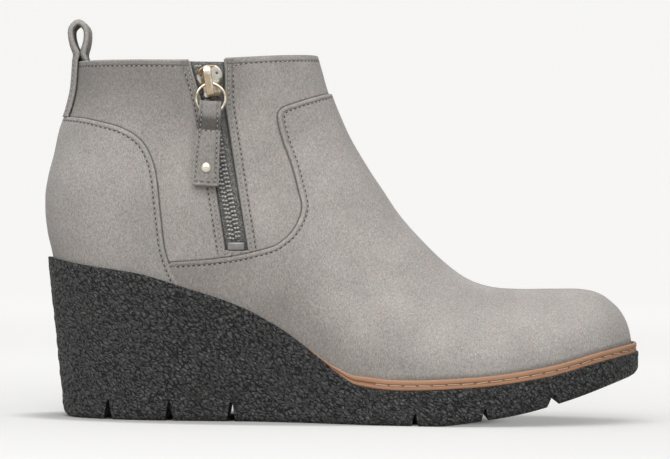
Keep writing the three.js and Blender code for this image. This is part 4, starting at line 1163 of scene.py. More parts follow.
levels, grainy = [], []  # each ring of points, and how much crepe shows there
for a in np.radians(np.linspace(0, 90, 7)):
    levels.append(sole_level(0, -edge_radius * math.cos(a), edge_radius * (1 - math.sin(a))))
    grainy.append(a / (math.pi / 2))
for k in range(1, side_levels):
    levels.append(sole_level(k / side_levels, 0, 0))
    grainy.append(1.0)
for a in np.radians(np.linspace(0, 90, 6)):
    levels.append(sole_level(1, rim_radius * math.sin(a), rim_radius * (1 - math.cos(a))))
    grainy.append(0.75 * (1 - a / (math.pi / 2)) ** 0.5)
cup_ring = ring + ring_out * (overlay_step + gap)
for depth in (0.0, 1.0, cup_depth):
    levels.append(np.column_stack([cup_ring, sole_line(cup_ring[:, 0]) - depth]))
    grainy.append(0.0)
print("levels:", len(levels))

# %% Crepe lumps, and the closed sole
flat_levels = np.concatenate(levels)
lumps = 0.5 * np.abs(noise(flat_levels, 2.6, 11)) + 0.34 * noise(flat_levels, 1.7, 12)
lumps += 0.18 * noise(flat_levels, 5.0, 13)
ways = np.tile(np.column_stack([ring_out, np.zeros(len(ring))]), (len(levels), 1))
away = np.repeat(grainy, len(ring)) * (lumps * 0.62 - 0.12)
sole_points = flat_levels + ways * away[:, None]
k = np.arange(ring_count // 2)
cap = split(np.stack([k, k + 1, (ring_count - k - 1) % ring_count, (ring_count - k) % ring_count], 1))
sole_tris = np.concatenate([split(grid_faces(len(levels), ring_count, closed=True)),
                            cap[:, ::-1], cap + (len(levels) - 1) * ring_count])
sole_points, sole_tris, _ = weld(sole_points, sole_tris)
sole = put("crepe_sole", sole_points + offset, sole_tris, rubber)
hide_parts("sole")
print("lumps from", away.min().round(2), "to", away.max().round(2), "mm")

# %% [markdown]
# ## Notches
# Three large pointed notches at the heel and three small ones at the forefoot run through the tread.
# They could be part of the rings, but then each ring would need its own points. A Boolean modifier
# cuts all six with one tool instead.

# %% Notches cut through the tread
notch_width, notch_depth, tool_reach = 3.4, 8.6, 80.0
notches = [  # station, share of the depth, share of the width
    (.1124, 1, 1), (.2148, 1, 1), (.3168, 1, 1), (.6188, .62, .75), (.7332, .6, .8), (.8472, .55, 1.35)]
tool_points, tool_faces = [], []
for station, depth, width in notches:
    x = float(x_at(station))
    floor_z, half_mm, deep = float(tread_at(x)), notch_width * width / 2, notch_depth * depth
    outline = [(-1.7 * half_mm, -deep), (1.7 * half_mm, -deep), (1.06 * half_mm, 0.2),
               (0.42 * half_mm, 0.8 * deep), (0.0, deep),
               (-0.42 * half_mm, 0.8 * deep), (-1.06 * half_mm, 0.2)]
    n, first = len(outline), len(tool_points)
    for y in (-tool_reach, tool_reach):
        tool_points += [(x + u, y, floor_z + v) for u, v in outline]
    near, far = [first + i for i in range(n)], [first + n + i for i in range(n)]
    tool_faces += [near, far[::-1]]
    tool_faces += [[near[i], far[i], far[(i + 1) % n], near[(i + 1) % n]] for i in range(n)]
mesh = bpy.data.meshes.new("notch_tool")
mesh.from_pydata((np.array(tool_points) + offset).tolist(), [], tool_faces)
mesh.transform(Matrix.Scale(MM, 4))
tool = bpy.data.objects.new("notch_tool", mesh)
bpy.context.scene.collection.objects.link(tool)
knife = sole.modifiers.new("notches", "BOOLEAN")
knife.operation, knife.object, knife.solver = "DIFFERENCE", tool, "EXACT"
apply_modifiers(sole)
bpy.data.objects.remove(tool)
print("sole triangles:", sum(len(p.vertices) - 2 for p in sole.data.polygons))

# %% [markdown]
# ## Welt
# A welt is a strip laid round the forefoot between upper and sole. It is one profile swept along the
# outline, thinner where it runs in at the back. The profile has a groove, in which the stitches lie.

# %% Welt
welt_out, welt_high, welt_start = rim_out - 0.8, 4.4, 0.445
welt_profile = [
    # out, share of the height, painted shade of the groove, painted highlight of the top
    (-1.4, 0.0, 0, 0), (-0.35, 0.0, 0, 0), (-0.06, 0.05, 0, 0), (0.0, 0.13, 0, 0), (0.02, 0.30, 0, 0),
    (-0.06, 0.335, .4, 0), (-0.3, 0.36, 1, 0), (-0.36, 0.42, 1, 0), (-0.36, 0.48, 1, 0), (-0.3, 0.53, 1, 0),
    (-0.06, 0.555, .4, 0), (0.02, 0.6, 0, 0), (0.02, 0.72, 0, .15), (0.0, 0.82, 0, .5), (-0.09, 0.92, 0, .9),
    (-0.3, 0.985, 0, 1), (-0.6, 1.0, 0, 1), (-1.1, 0.97, 0, .6), (-1.4, 0.9, 0.5, 0),
]
ring_station = station_of(ring[:, 0])
welt_from = int(np.argmax((ring_station > welt_start) & (np.arange(ring_count) < ring_count // 2)))
used = np.arange(welt_from, ring_count - welt_from + 1)
welt_ring, welt_way = ring[used], ring_out[used]
thick = gap + (welt_high - 2 * gap) * smooth(ring_station[used], welt_start, 0.55)


def welt_height(share):
    return sole_line(welt_ring[:, 0]) + 0.1 + (thick + gap - 0.1) * share


welt_points = np.concatenate([np.column_stack([welt_ring + welt_way * (welt_out + out), welt_height(share)])
                              for out, share, _, _ in welt_profile])
groove_shade, top = (np.repeat([float(row[column]) for row in welt_profile], len(used)) for column in (2, 3))
welt_points, welt_tris, kept = weld(welt_points, split(grid_faces(len(welt_profile), len(used))),
                                    {"groove_shade": groove_shade, "top": top})
welt = put("welt_strip", welt_points + offset, welt_tris, tan, extra=kept)
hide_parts("welt")
print("welt from station", welt_start, "triangles:", len(welt_tris))

# %% [markdown]
# ## Stitches
# A stitch is a short thread between two holes. A curve with a bevel would make one, but a boot has
# hundreds, so a small round-ended capsule is copied along each line, tilted a little at random. On
# suede, dark capsules set between them are painted shadow in the holes that each thread enters.

# %% Capsules along a line
def capsule(length, radius, around=6, along=6):
    """Points and triangles of a short round-ended stitch along X."""
    t = np.linspace(-math.pi / 2, math.pi / 2, along)
    straight = (length / 2 - radius) * np.where(np.arange(along) < along // 2, -1, 1)
    x, r = np.sin(t) * radius + straight, np.cos(t) * radius
    a = np.linspace(0, 2 * math.pi, around, endpoint=False)
    y, z = np.outer(r, np.cos(a)).ravel(), np.outer(r, np.sin(a)).ravel()
    return np.stack([np.repeat(x, around), y, z], 1), split(grid_faces(along, around, closed=True))


def frame_on(way, out):
    """Three axes: along a way, across it, and off the surface."""
    x = way / np.linalg.norm(way)
    y = np.cross(out, x)
    y /= np.linalg.norm(y)
    return x, y, np.cross(x, y)


def stitches(line, normals, length, pitch, radius, sink, shift):
    """A sewn row: one capsule every pitch along a line, lying on its normals."""
    along = np.concatenate([[0], np.cumsum(np.linalg.norm(np.diff(line, axis=0), axis=1))])
    count = max(1, int(along[-1] / pitch))
    stitch, faces = capsule(length, radius)
    points, tris = [], []

    def read(values, place):
        return np.array([np.interp(place, along, values[:, c]) for c in range(3)])

    for n in range(count):
        place = np.clip((n + shift) * along[-1] / count, length / 2, along[-1] - length / 2)
        start, stop = read(line, place - length / 2), read(line, place + length / 2)
        x, y, z = frame_on(stop - start, read(normals, place))
        tilt = rng.normal(0, 0.06)
        x, y = x * math.cos(tilt) + y * math.sin(tilt), y * math.cos(tilt) - x * math.sin(tilt)
        tris.append(faces + n * len(stitch))
        points.append((start + stop) / 2 - z * sink + stitch @ np.stack([x, y, z]))
    return np.concatenate(points), np.concatenate(tris)


def sew(name, lines, length, pitch, radius, finish, body="boot", sink=0.1, shift=0.5):
    """Joins several sewn rows, each a line with its normals, into one piece."""
    points, tris, count = [], [], 0
    for line, normals in lines:
        row_points, row_tris = stitches(line, normals, length, pitch, radius, sink, shift)
        points.append(row_points)
        tris.append(row_tris + count)
        count += len(row_points)
    put(name, np.concatenate(points) + offset, np.concatenate(tris), finish, body)


def sew_row(name, lines, pitch=2.15, radius=0.26, body="boot", lit=0.5, hole=1.4):
    """Light threads, and between them dark capsules: painted shadow in the holes where each thread enters the
    leather.
    """
    sew(name, lines, pitch * lit, pitch, radius, grey_thread, body, radius * 0.45)
    dip = radius * hole
    sew(name + "_hole_shadows", lines, pitch * (1.05 - lit), pitch, dip, needle_hole_shadow, body, dip * 0.72,
        0.0)


groove = welt_ring + welt_way * (welt_out - 0.34)
sewn = smooth(ring_station[used], 0.5, 0.56) > 0.98
groove_line = np.column_stack([groove, welt_height(0.45)])[sewn]
groove_normal = np.column_stack([welt_way, np.zeros(len(welt_way))])[sewn]
sew("welt_stitches", [(groove_line, groove_normal)], 4.9, 5.9, 0.3, tan_thread, sink=0.02)
print("welt stitched:", len(groove_line), "points of its groove")

# %% [markdown]
# ## Sock
# The sock is the soft sheet that a foot stands on. The insole under it can't be seen, so the sheet
# takes its place: a grid across the inside of the last, turned up a little at its sides.

# %% Sock over the insole
sock_rows, sock_columns, sock_thick, sock_round = 150, 41, 3.0, 9
sock_x = np.linspace(back_seat + 3.5, float(ridge[tip, 0]) - 4.5, sock_rows)
sock_z = sole_line(sock_x) - cup_depth + gap + sock_thick
across = np.linspace(-1, 1, sock_columns)[None]
outer_half, inner_half = (half_width(sock_x, sock_z, side)[:, None] - wall - gap for side in (-1, 1))
narrow = round_end((sock_x - sock_x[0] + 1.2) / sock_round, 2.0)
narrow = np.maximum(0.2, narrow * round_end((sock_x[-1] - sock_x + 1.2) / sock_round, 2.0))[:, None]
sock_y = np.where(across < 0, across * outer_half, across * inner_half) * narrow + middle(sock_x)[:, None]
bed = sock_z[:, None] + 0.9 * np.abs(across) ** 3 + 0.15
sock_points = np.stack([np.repeat(sock_x[:, None], sock_columns, 1), sock_y, bed], -1).reshape(-1, 3)
sock_points[:, 2] += noise(sock_points, 16, 21) * 0.15
sock_tris = split(grid_faces(sock_rows, sock_columns))
sock_piece = put("sock", sock_points + offset, sock_tris, lining)
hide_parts("insole")
print("sock length:", round(sock_x[-1] - sock_x[0], 1), "mm")

# %% [markdown]
# ## Pull loop
# One suede strap runs up the back over the counter, over in a loop above the collar and down inside.
# Sweeping a box along a curve would leave it flat across, but the real strap wraps round the heel, so
# its middle surface is laid first, row by row, and then given a thickness.

# %% Middle line of the strap
strap_half, leg_thick, loop_thick, loop_high = 9.0, 1.7, 2.5, 16
across_n = 25
middle_column = across_n // 2
across_y = np.linspace(-1, 1, across_n) * (strap_half - 0.35)
collar_back = collar_height * .987
collar_x = float(back_at(collar_back))
leg_out, leg_in = collar_x - gap - leg_thick / 2, collar_x + wall + gap + leg_thick / 2
loop_middle = (leg_out + leg_in) / 2
pinched, opened = (loop_thick + 0.25) / 2, (loop_thick + 4.1) / 2
loop_rows = [  # half the distance between the strap's two legs, and the height in the loop
    ((leg_in - leg_out) / 2, 0.0), (pinched * 1.12, 0.1), (pinched, 0.2), (opened * 0.8, 0.42),
    (opened, 0.66), (opened * 0.86, 0.86), (0.0, 1.0)]
loop_half = [(loop_middle - half, collar_back + gap + loop_high * share) for half, share in loop_rows]
loop_points = loop_half + [(2 * loop_middle - x, z) for x, z in loop_half[-2::-1]]
loop_line = respaced(spline(loop_points, 400), 70)
print("loop top at", loop_line[:, 1].max().round(1), "mm")

# %% Middle surface of the strap
def behind_back(y, z, lift):
    """Points at a lift behind the last's back, at a height and a distance from its middle."""
    low = np.maximum(np.full(y.shape, -140.0), back_at(z))
    high = low + 60
    for _ in range(30):
        mid = (low + high) / 2
        narrow = half_width(mid, z, -1) < np.abs(y)
        low, high = np.where(narrow, mid, low), np.where(narrow, high, mid)
    slope = np.abs(y) / (shaft_width / 2)
    out = np.stack([-np.sqrt(np.maximum(0.05, 1 - slope**2)), np.sign(y) * slope, np.zeros_like(y)], -1)
    return np.stack([low, y, z], -1) + out * lift


tail_y, tail_z = np.meshgrid(across_y, np.linspace(125.6, collar_back - 0.4, 22))
tail = behind_back(tail_y.T.ravel(), tail_z.T.ravel(), gap + leg_thick / 2)
tail = tail.reshape(across_n, -1, 3).transpose(1, 0, 2)
hollow = tail[-1, :, 0] - tail[-1, middle_column, 0]
loop = [np.stack([x + hollow * (1 - 0.85 * math.sin(math.pi * i / (len(loop_line) - 1))), across_y,
                  np.full(across_n, z)], 1) for i, (x, z) in enumerate(loop_line)]
in_y, in_z = np.meshgrid(across_y, np.linspace(collar_back - 0.4, collar_back - 14, 14))
inside_tail = np.stack([leg_in + hollow[None] + (back_at(in_z) - back_at(collar_back)), in_y, in_z], -1)
strap_mid = np.concatenate([tail, np.array(loop), inside_tail])
strap_out = np.cross(np.gradient(strap_mid, axis=1), np.gradient(strap_mid, axis=0))
strap_out /= np.linalg.norm(strap_out, axis=-1, keepdims=True)
if strap_out[3, middle_column, 0] > 0:
    strap_out = -strap_out
row_z = strap_mid[:, middle_column, 2]
row_thick = leg_thick + (loop_thick - leg_thick) * smooth(row_z, collar_back - 0.5, collar_back + 3.5)
print("strap rows:", len(strap_mid))

# %% Strap with its thickness and its two sewn rows
edge_soft, edge_from, edge_bulge, edge_in = 0.45, 0.86, 0.35, 1.6


def down_strap(values, place):
    """Reads a line down the strap at a place across it, from -1 to 1."""
    column = (place + 1) / 2 * (across_n - 1)
    j = min(int(column), across_n - 2)
    return values[:, j] * (1 - (column - j)) + values[:, j + 1] * (column - j)


flat_side = list(np.linspace(-1, 1, across_n))
round_side = (0.5, 0.0, -0.5)
section = [(place, 1.0) for place in flat_side] + [(1.0, side) for side in round_side]
section += [(place, -1.0) for place in flat_side[::-1]] + [(-1.0, -side) for side in round_side]
lines = []
for place, side in section:
    thinned = 1 - edge_soft * max(0, abs(place) - edge_from) / (1 - edge_from) if abs(side) == 1 else 1
    away = (side * row_thick / 2 * thinned)[:, None]
    p = down_strap(strap_mid, place) + down_strap(strap_out, place) * away
    if abs(place) == 1:
        p[:, 1] += edge_bulge * (1 - side**2) * place
    lines.append(p)
strap_rows, strap_ring = len(strap_mid), len(section)
strap_points = np.stack(lines, 1).reshape(-1, 3)
strap_tris = split(grid_faces(strap_rows, strap_ring, closed=True))
row_middle = np.repeat(strap_mid.mean(1), strap_ring, 0)
if (normals_of(strap_points, strap_tris) * (strap_points - row_middle)).sum() < 0:
    strap_tris = strap_tris[:, ::-1]
first_ring = np.arange(strap_ring)[::-1]
last_ring = np.arange(strap_ring) + (strap_rows - 1) * strap_ring
caps = [[end[0], end[k], end[k + 1]] for end in (first_ring, last_ring) for k in range(1, strap_ring - 1)]
edge_mm = [(1 - abs(place)) * strap_half for place, _ in section]
strap = put("loop_strap", strap_points + offset, np.concatenate([strap_tris, np.array(caps)]), suede_strap,
            extra={"edge_mm": np.tile(edge_mm, strap_rows)})
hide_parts("pull_loop")
lines = []
for side in (-1, 1):
    place = side * (strap_half - edge_in) / strap_half
    out = down_strap(strap_out, place)
    lines.append((down_strap(strap_mid, place) + out * row_thick[:, None] / 2, out))
sew_row("loop_stitches", lines)
print("strap:", strap_rows, "rows of", strap_ring, "points")

# %% [markdown]
# ## Sewn rows on the upper
# Each overlay has a row of stitches 2 mm inside its edge, the slot has two rows and the collar one.
# The rows follow the same curves as the cuts do, moved over the surface, so that they stay parallel.

# %% Rows on the overlays, beside the slot and under the collar
overlay_row, zip_inner, zip_outer = 2.0, 1.4, 3.2


def row_on_skin(line_xz, side, lift, inward):
    """A row of stitches beside an edge, moved over the surface by inward millimetres."""
    line = respaced(line_xz[inside_outline(line_xz, 0.6)], 160)
    p, n = on_skin(line, side, lift)
    over = np.cross(np.gradient(p, axis=0), n)
    over /= np.linalg.norm(over, axis=1, keepdims=True)
    shifted = (p + over * inward)[:, [0, 2]]
    return on_skin(shifted[inside_outline(shifted, 0.15)], side, lift)


def zip_rows(away_mm, high_z):
    """The two rows beside the slot, away_mm from its edges."""
    made = []
    for edge, way in zip(slot_edges, (1, -1)):
        keep = (edge[:, 1] > 68.0) & (edge[:, 1] < high_z)
        made.append(on_skin(edge[keep] + np.array([way * away_mm, 0.0]), -1, 0.0))
    return made


lines = []
seen = vamp_line[signed(vamp_line[:, 0], vamp_line[:, 1], counter_line, -1) < -1.5]
for side in (-1, 1):
    lines.append(row_on_skin(seen, side, overlay_step, overlay_row * side))
    lines.append(row_on_skin(counter_line, side, overlay_step + 0.1, -overlay_row * side))
sew_row("overlay_stitches", lines, lit=0.42, hole=1.45)
sew_row("zip_inner_row", zip_rows(zip_inner, 146.6), 1.9, 0.27, lit=0.72, hole=1.1)
sew_row("zip_outer_row", zip_rows(zip_outer, 145.0), lit=0.45, hole=1.5)

lines = []
for part in (np.arange(2, back_steps - 2), np.arange(slot_end + 3, columns - 2)):
    x, y, z = skin_grid[-1, part].T
    from_slot = np.abs(x - zip_x(z)) - slot_half(z)
    dip = np.where(y < 0, 3.4 * np.exp(-np.maximum(0, from_slot - 1.2) / 2.2), 0)
    row_z = z - 2.05 - dip
    p = surface(np.maximum(x, back_at(row_z) + 0.02), row_z, np.where(part < steps, -1.0, 1.0))
    n = base_normal.reshape(rows, columns, 3)[-3, part]
    lines.append((p + n * relief(p)[:, None], n))
sew_row("collar_stitches", lines)

# %% [markdown]
# ## Zip
# A coil zip is woven tape with a row of plastic turns on each edge, sewn down along them. The tape is
# two layers on the last's surface behind the slot. Each tooth is a capsule, and the two columns are
# half a pitch apart, so that they interlock, and part above the slider.

# %% Tape
tape_half, tape_low, tape_high, tape_thick = 10.6, 67.2, 148.4, 0.85
tape_columns, tape_rows = 40, 90


def zip_point(u, z, lift):
    """Points beside the zip's middle line, u millimetres to the right of it, with their normals."""
    x = zip_x(z) + u
    n = skin_normal(x, z, -1.0, 0.5)
    return surface(x, z, -1.0) + n * lift, n


u, z = (v.ravel() for v in np.meshgrid(np.linspace(-tape_half, tape_half, tape_columns),
                                       np.linspace(tape_low, tape_high, tape_rows)))
tape_front, tape_back = (zip_point(u, z, lift)[0] for lift in (-wall - 0.15, -wall - 0.15 - tape_thick))
# tuck is the painted shadow on the tape along the slot's edges
tuck = smooth(np.abs(u) - slot_half(z), -1.3, -0.2)
tape_tris = split(grid_faces(tape_rows, tape_columns))
tape = put("zip_tape_cloth", np.concatenate([tape_front, tape_back]) + offset,
           np.concatenate([tape_tris, tape_tris[:, ::-1] + len(tape_front)]), tape_weave,
           extra={"tuck": np.concatenate([tuck, tuck * 0])})
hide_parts("zip_tape")
print("tape width:", 2 * tape_half, "mm")

# %% Coil and tape stitches
tooth_pitch, chain_low, chain_high, chain_lift = 1.73, 75.4, 147.0, -0.75
slider_z = zip_high - 9.6
tooth, tooth_tris = capsule(1.1, 0.42, around=8)


def chain_at(z):
    """How far the chain lies to the left of the slot's middle line."""
    return -1.1 * smooth(z, 78, 112)


def parted(z):
    """How far the chain's two sides stand apart: it is open above the slider."""
    return smooth(z, slider_z - 2, zip_high)


points, tris = [], []
for column in (-1.9, -0.75, 0.75, 1.9):
    z = chain_low + (tooth_pitch / 2 if column > 0 else 0)
    while z < chain_high:
        u = column + np.sign(column) * parted(z) * 2.2 + chain_at(z)
        tooth_z = z + 0.12 * abs(column)
        p, n = zip_point(np.array([u, u + 0.5]), np.array([tooth_z, tooth_z + 0.09]), chain_lift)
        tris.append(tooth_tris + len(points) * len(tooth))
        points.append(p[0] + tooth @ np.stack(frame_on(p[1] - p[0], n[0])))
        z += tooth_pitch
coil = put("zip_teeth", np.concatenate(points) + offset, np.concatenate(tris), coil_plastic)
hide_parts("zip_coil")
z = np.linspace(72.5, 146.5, 120)
lines = [zip_point(u + chain_at(z) + np.sign(u) * parted(z) * 2.0, z, -wall + (0.1 if u else 0.35))
         for u in (-3.1, 0.0, 3.1)]
sew("tape_stitches", lines, 1.1, 1.77, 0.26, tape_weave, sink=0.0)
print("teeth:", len(points))

# %% [markdown]
# ## Slider and stop
# These are small die-cast pieces: flat outlines with soft edges. Each is an outline pushed out to its
# depth and rounded by a Bevel modifier, placed by three axes on the zip's own slope.

# %% Bevelled metal pieces
def bevelled(name, outline, depth, finish, axes, place, bevel, segments=3):
    """An extruded outline with rounded edges; axes are its right, its up and its way out."""
    n = len(outline)
    corners = [(u, v, w) for w in (0.0, depth) for u, v in outline]
    faces = [list(range(n))[::-1], [n + k for k in range(n)]]
    faces += [[k, (k + 1) % n, n + (k + 1) % n, n + k] for k in range(n)]
    obj = put(name, np.array(corners) @ np.stack(axes) + place + offset, faces, finish, "boot")
    rounding = obj.modifiers.new("round", "BEVEL")
    rounding.width, rounding.segments, rounding.limit_method = bevel * MM, segments, "ANGLE"
    rounding.angle_limit = math.radians(25)
    apply_modifiers(obj)
    obj.modifiers.new("flat", "WEIGHTED_NORMAL").keep_sharp = False
    return obj


slider_at = surface(zip_x(slider_z) + np.zeros(1), np.array([slider_z]), -1.0)
slider_place = slider_at[0]
slider_out = skin_normal(slider_at[:, 0], slider_at[:, 2], -1, 1.0)[0]
slider_right = np.cross(np.array([-zip_lean, 0.0, 1.0]), slider_out)
slider_right /= np.linalg.norm(slider_right)
slider_up = np.cross(slider_out, slider_right)
slider_axes = (slider_right, slider_up, slider_out)
print("slider at", slider_place.round(1))

# %% Slider, its bridge and the dark discs of painted shadow in its holes
slider_wide, slider_long, plate_thick = 11.0, 14.6, 2.0
half_plate = [(0.0, -0.47), (0.24, -0.47), (0.30, -0.45), (0.335, -0.40), (0.345, -0.30), (0.345, -0.20),
              (0.355, -0.13), (0.40, -0.04), (0.455, 0.04), (0.49, 0.13), (0.485, 0.22), (0.44, 0.31),
              (0.36, 0.385), (0.26, 0.43), (0.14, 0.455)]
plate = [(u * slider_wide, v * slider_long) for u, v in half_plate]
plate += [(-u, v) for u, v in plate[:0:-1]]
slider = bevelled("slider_body", plate, plate_thick, champagne, slider_axes, slider_place + slider_out * 0.3,
                  0.95, segments=5)
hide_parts("zip_slider")

bridge_wide, bridge_half, bridge_foot = 3.3, 6.2, -1.0
room = 1.2 + 2 * gap  # the height left under the bridge for the ring's wire
bridge_top = room + 1.3
half_bridge = [  # from its end inwards, height: over the outside, then back along the inside
    (0, bridge_foot), (0, bridge_top * .5), (.5, bridge_top * .82), (1.5, bridge_top)]
inner_bridge = [(1.2, bridge_foot), (1.2, room * .55), (1.9, room)]
bridge = [(-bridge_half + u, v) for u, v in half_bridge]
bridge += [(bridge_half - u, v) for u, v in half_bridge[::-1] + inner_bridge]
bridge += [(-bridge_half + u, v) for u, v in inner_bridge[::-1]]
bevelled("slider_bridge", bridge, bridge_wide, gold, (slider_up, slider_out, slider_right),
         slider_place + slider_out * 2.3 - slider_right * 2.5, 0.55, segments=4)

# dark discs set almost flush into the plate: painted shadow in the slider's two holes
hole_disc_radius, hole_disc_out = 0.62, 1.86
hole_disc = [(hole_disc_radius * math.cos(a), hole_disc_radius * math.sin(a)) for a in np.radians(np.linspace(0, 330, 12))]
for name, side in (("left", -1), ("right", 1)):
    place = slider_place + slider_out * hole_disc_out + slider_up * (0.2 * slider_long)
    place = place + slider_right * (side * 0.3 * slider_wide - 0.2)
    bevelled("slider_hole_disc_" + name, hole_disc, 0.5, hole_shadow_metal, slider_axes, place, 0.12)
print("slider made, with a bridge", round(bridge_top, 1), "mm high")

# %% Stop at the zip's foot
stop_half_wide, stop_half_high, stop_z = 3.6, 1.7, 72.3
p, n = zip_point(np.array([0.0, 1.0]), np.full(2, stop_z), -1.0)
stop_right = (p[1] - p[0]) / np.linalg.norm(p[1] - p[0])
stop_outline = [(-stop_half_wide, -stop_half_high), (stop_half_wide, -stop_half_high),
                (stop_half_wide, stop_half_high), (-stop_half_wide, stop_half_high)]
stop = bevelled("bottom_stop", stop_outline, 1.3, stop_grey, (stop_right, np.cross(n[1], stop_right), n[1]),
                p[0], 0.6)
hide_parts("zip_stop")
print("stop at", p[0].round(1))

# %% [markdown]
# ## Ring, tab and rivet
# The pull is a wire ring through the slider's bridge, with a suede tab folded over it, sewn and
# riveted. All of it rides on the body that swings, so it is built where it hangs at rest: the tab
# leans 3 degrees off the upright, its free end to the heel.

# %% Ring
hinge = np.array([-55.2801, -29.5524, 139.1762]) - offset  # where the CAD's joint turns
ring_radius, wire, ring_turns, wire_turns = 6.0, 0.6, 64, 16
a, b = np.meshgrid(np.linspace(0, 2 * math.pi, ring_turns, endpoint=False),
                   np.linspace(0, 2 * math.pi, wire_turns, endpoint=False), indexing="ij")
from_middle = ring_radius + wire * np.cos(b)
torus = np.stack([from_middle * np.cos(a), wire * np.sin(b), from_middle * np.sin(a)], -1).reshape(-1, 3)
torus = torus + hinge - np.array([0, 0, ring_radius])
start = np.arange(ring_turns * wire_turns).reshape(ring_turns, wire_turns)
next_turn = np.roll(start, -1, 0)
quads = np.stack([start, next_turn, np.roll(next_turn, -1, 1), np.roll(start, -1, 1)], -1).reshape(-1, 4)
ring_obj = put("ring_wire", torus + offset, quads[:, ::-1], gold, "zip_pull")
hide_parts("pull_ring")
print("ring hangs from", hinge.round(1))

# %% Sizes of the tab
tilt = math.radians(3)
fold, tab_length, tab_half = 0.8, 35.0, 1.2
tab_top_width, tab_low_width = 8.8, 11.3
fold_top = -(ring_radius + gap + fold)
tab_end = fold_top - tab_length
fold_end = -(2 * ring_radius + wire + gap) - fold
fold_half = wire + gap + fold
seam_z = -19.0  # where the folded end of the suede stops on the tab's face
seam_lift = 0.28
top_round, end_round, corner_round = 1.6, 0.5, 0.8


def on_pull(points):
    """From the tab's own frame, hung from the ring's middle, to the last's frame."""
    p = points + np.array([0, 0, ring_radius])
    c, s = math.cos(tilt), math.sin(tilt)
    turned = np.stack([p[:, 0] * c + p[:, 2] * s, p[:, 1], -p[:, 0] * s + p[:, 2] * c], 1)
    return turned - np.array([0, 0, ring_radius]) + hinge


def thick_at(z):
    """Half the tab's thickness: thicker where it is folded over the ring."""
    return tab_half + (fold_half - tab_half) * smooth(z, fold_end - 2.2, fold_end + 0.5)


def width_at(z):
    """Half the tab's width: it widens towards its lower end."""
    return (tab_top_width + (tab_low_width - tab_top_width) * (fold_top - z) / tab_length) / 2


def quarter(past, radius):
    """Height left on a quarter round at a distance past its start, from 1 down to 0."""
    return np.sqrt(np.maximum(0, 1 - (np.maximum(0, past) / radius) ** 2))


print("tab from", fold_top, "to", round(tab_end, 1), "mm")

# %% Tab
tab_z = np.concatenate([np.linspace(tab_end, tab_end + corner_round, 5),
                        np.linspace(tab_end + corner_round, fold_top - top_round, 46)[1:],
                        fold_top - top_round * (1 - np.sin(np.linspace(0, math.pi / 2, 8)[1:]))])
edge_u = 1 - 0.06 * (1 - np.cos(np.linspace(math.pi / 2, 0, 4)))
tab_u = np.concatenate([-edge_u[::-1], np.linspace(-0.94, 0.94, 22)[1:-1], edge_u])
near_top = quarter(tab_z - (fold_top - top_round), top_round)
near_end = 0.55 + 0.45 * quarter(tab_end + end_round - tab_z, end_round)
corner_in = corner_round * (1 - quarter(tab_end + corner_round - tab_z, corner_round))
soft = np.sqrt(np.clip(1 - (np.maximum(0, np.abs(tab_u) - 0.9) / 0.1) ** 2, 0.12, 1))
tab_x = tab_u * (width_at(tab_z) - corner_in)[:, None]
tab_y = soft * (thick_at(tab_z) * near_top * near_end)[:, None]
face_z = np.repeat(tab_z[:, None], len(tab_u), 1)
tab_points = np.concatenate([np.stack([tab_x, face * tab_y, face_z], -1).reshape(-1, 3) for face in (-1, 1)])
folded = (tab_points[:, 2] > seam_z) & (np.abs(tab_points[:, 1]) > 0.5)
stand = np.where(folded, np.sign(tab_points[:, 1]) * seam_lift, 0)
tab_points[:, 1] += stand * smooth(tab_points[:, 2], seam_z, seam_z + 0.6)

count = len(tab_z) * len(tab_u)
face_tris = split(grid_faces(len(tab_z), len(tab_u)))
left = np.arange(len(tab_z)) * len(tab_u)
bottom = np.arange(len(tab_u))
sides = []
for border, outward in ((left, False), (left + len(tab_u) - 1, True), (bottom, True)):
    quad = np.stack([border[:-1], border[1:], border[1:] + count, border[:-1] + count], 1)
    sides.append(split(quad) if outward else split(quad)[:, ::-1])
tab_tris = np.concatenate([face_tris, face_tris[:, ::-1] + count, *sides])
to_side = (1 - np.abs(tab_u)) * width_at(tab_z)[:, None]
edge_mm = np.minimum(to_side, (tab_z - tab_end)[:, None]).ravel()
above_seam = tab_points[:, 2] - seam_z
# painted shade on the folded layer, in a band just above where it ends on the tab's face
fold_shadow = np.exp(-((above_seam - 2.0) / 3.8) ** 2) * ((above_seam > -0.1) & (above_seam < 11))
tab = put("tab_suede", on_pull(tab_points) + offset, tab_tris, suede_tab, "zip_pull",
          extra={"edge_mm": np.concatenate([edge_mm, edge_mm]), "under_mm": fold_shadow - 1.0})
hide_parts("pull_tab")
print("tab triangles:", len(tab_tris))

# %% Tab stitches
def tab_row(x, y, z):
    points = np.stack(np.broadcast_arrays(x, y, z), 1).astype(float)
    return on_pull(points), np.tile([0.0, -1.0, 0.0], (len(points), 1))


z = np.linspace(tab_end + 1.4, fold_top - 3.0, 40)
face_y = -(thick_at(z) + seam_lift * smooth(z, seam_z, seam_z + 0.6))
lines = [tab_row(side * (width_at(z) - 1.3), face_y, z) for side in (-1, 1)]
lines.append(tab_row(np.linspace(-4.0, 4.0, 8), -tab_half, tab_end + 1.5))
lines.append(tab_row(np.linspace(-3.2, 3.2, 8), -tab_half - 0.02, seam_z - 0.5))
sew_row("tab_stitches", lines, 2.0, 0.23, "zip_pull", lit=0.55, hole=1.3)
print("tab sewn")

# %% Rivet
rivet_z, rivet_turns, rivet_proud = tab_end + 7.5, 40, 0.15
cap_profile = [(0.0, 0.95), (0.6, 0.93), (1.2, 0.84), (1.7, 0.62), (2.02, 0.35), (2.15, 0.05), (2.1, -0.12),
               (1.6, -0.2)]
back_profile = [(0.0, 0.5), (1.2, 0.48), (1.6, 0.3), (1.72, 0.0)]


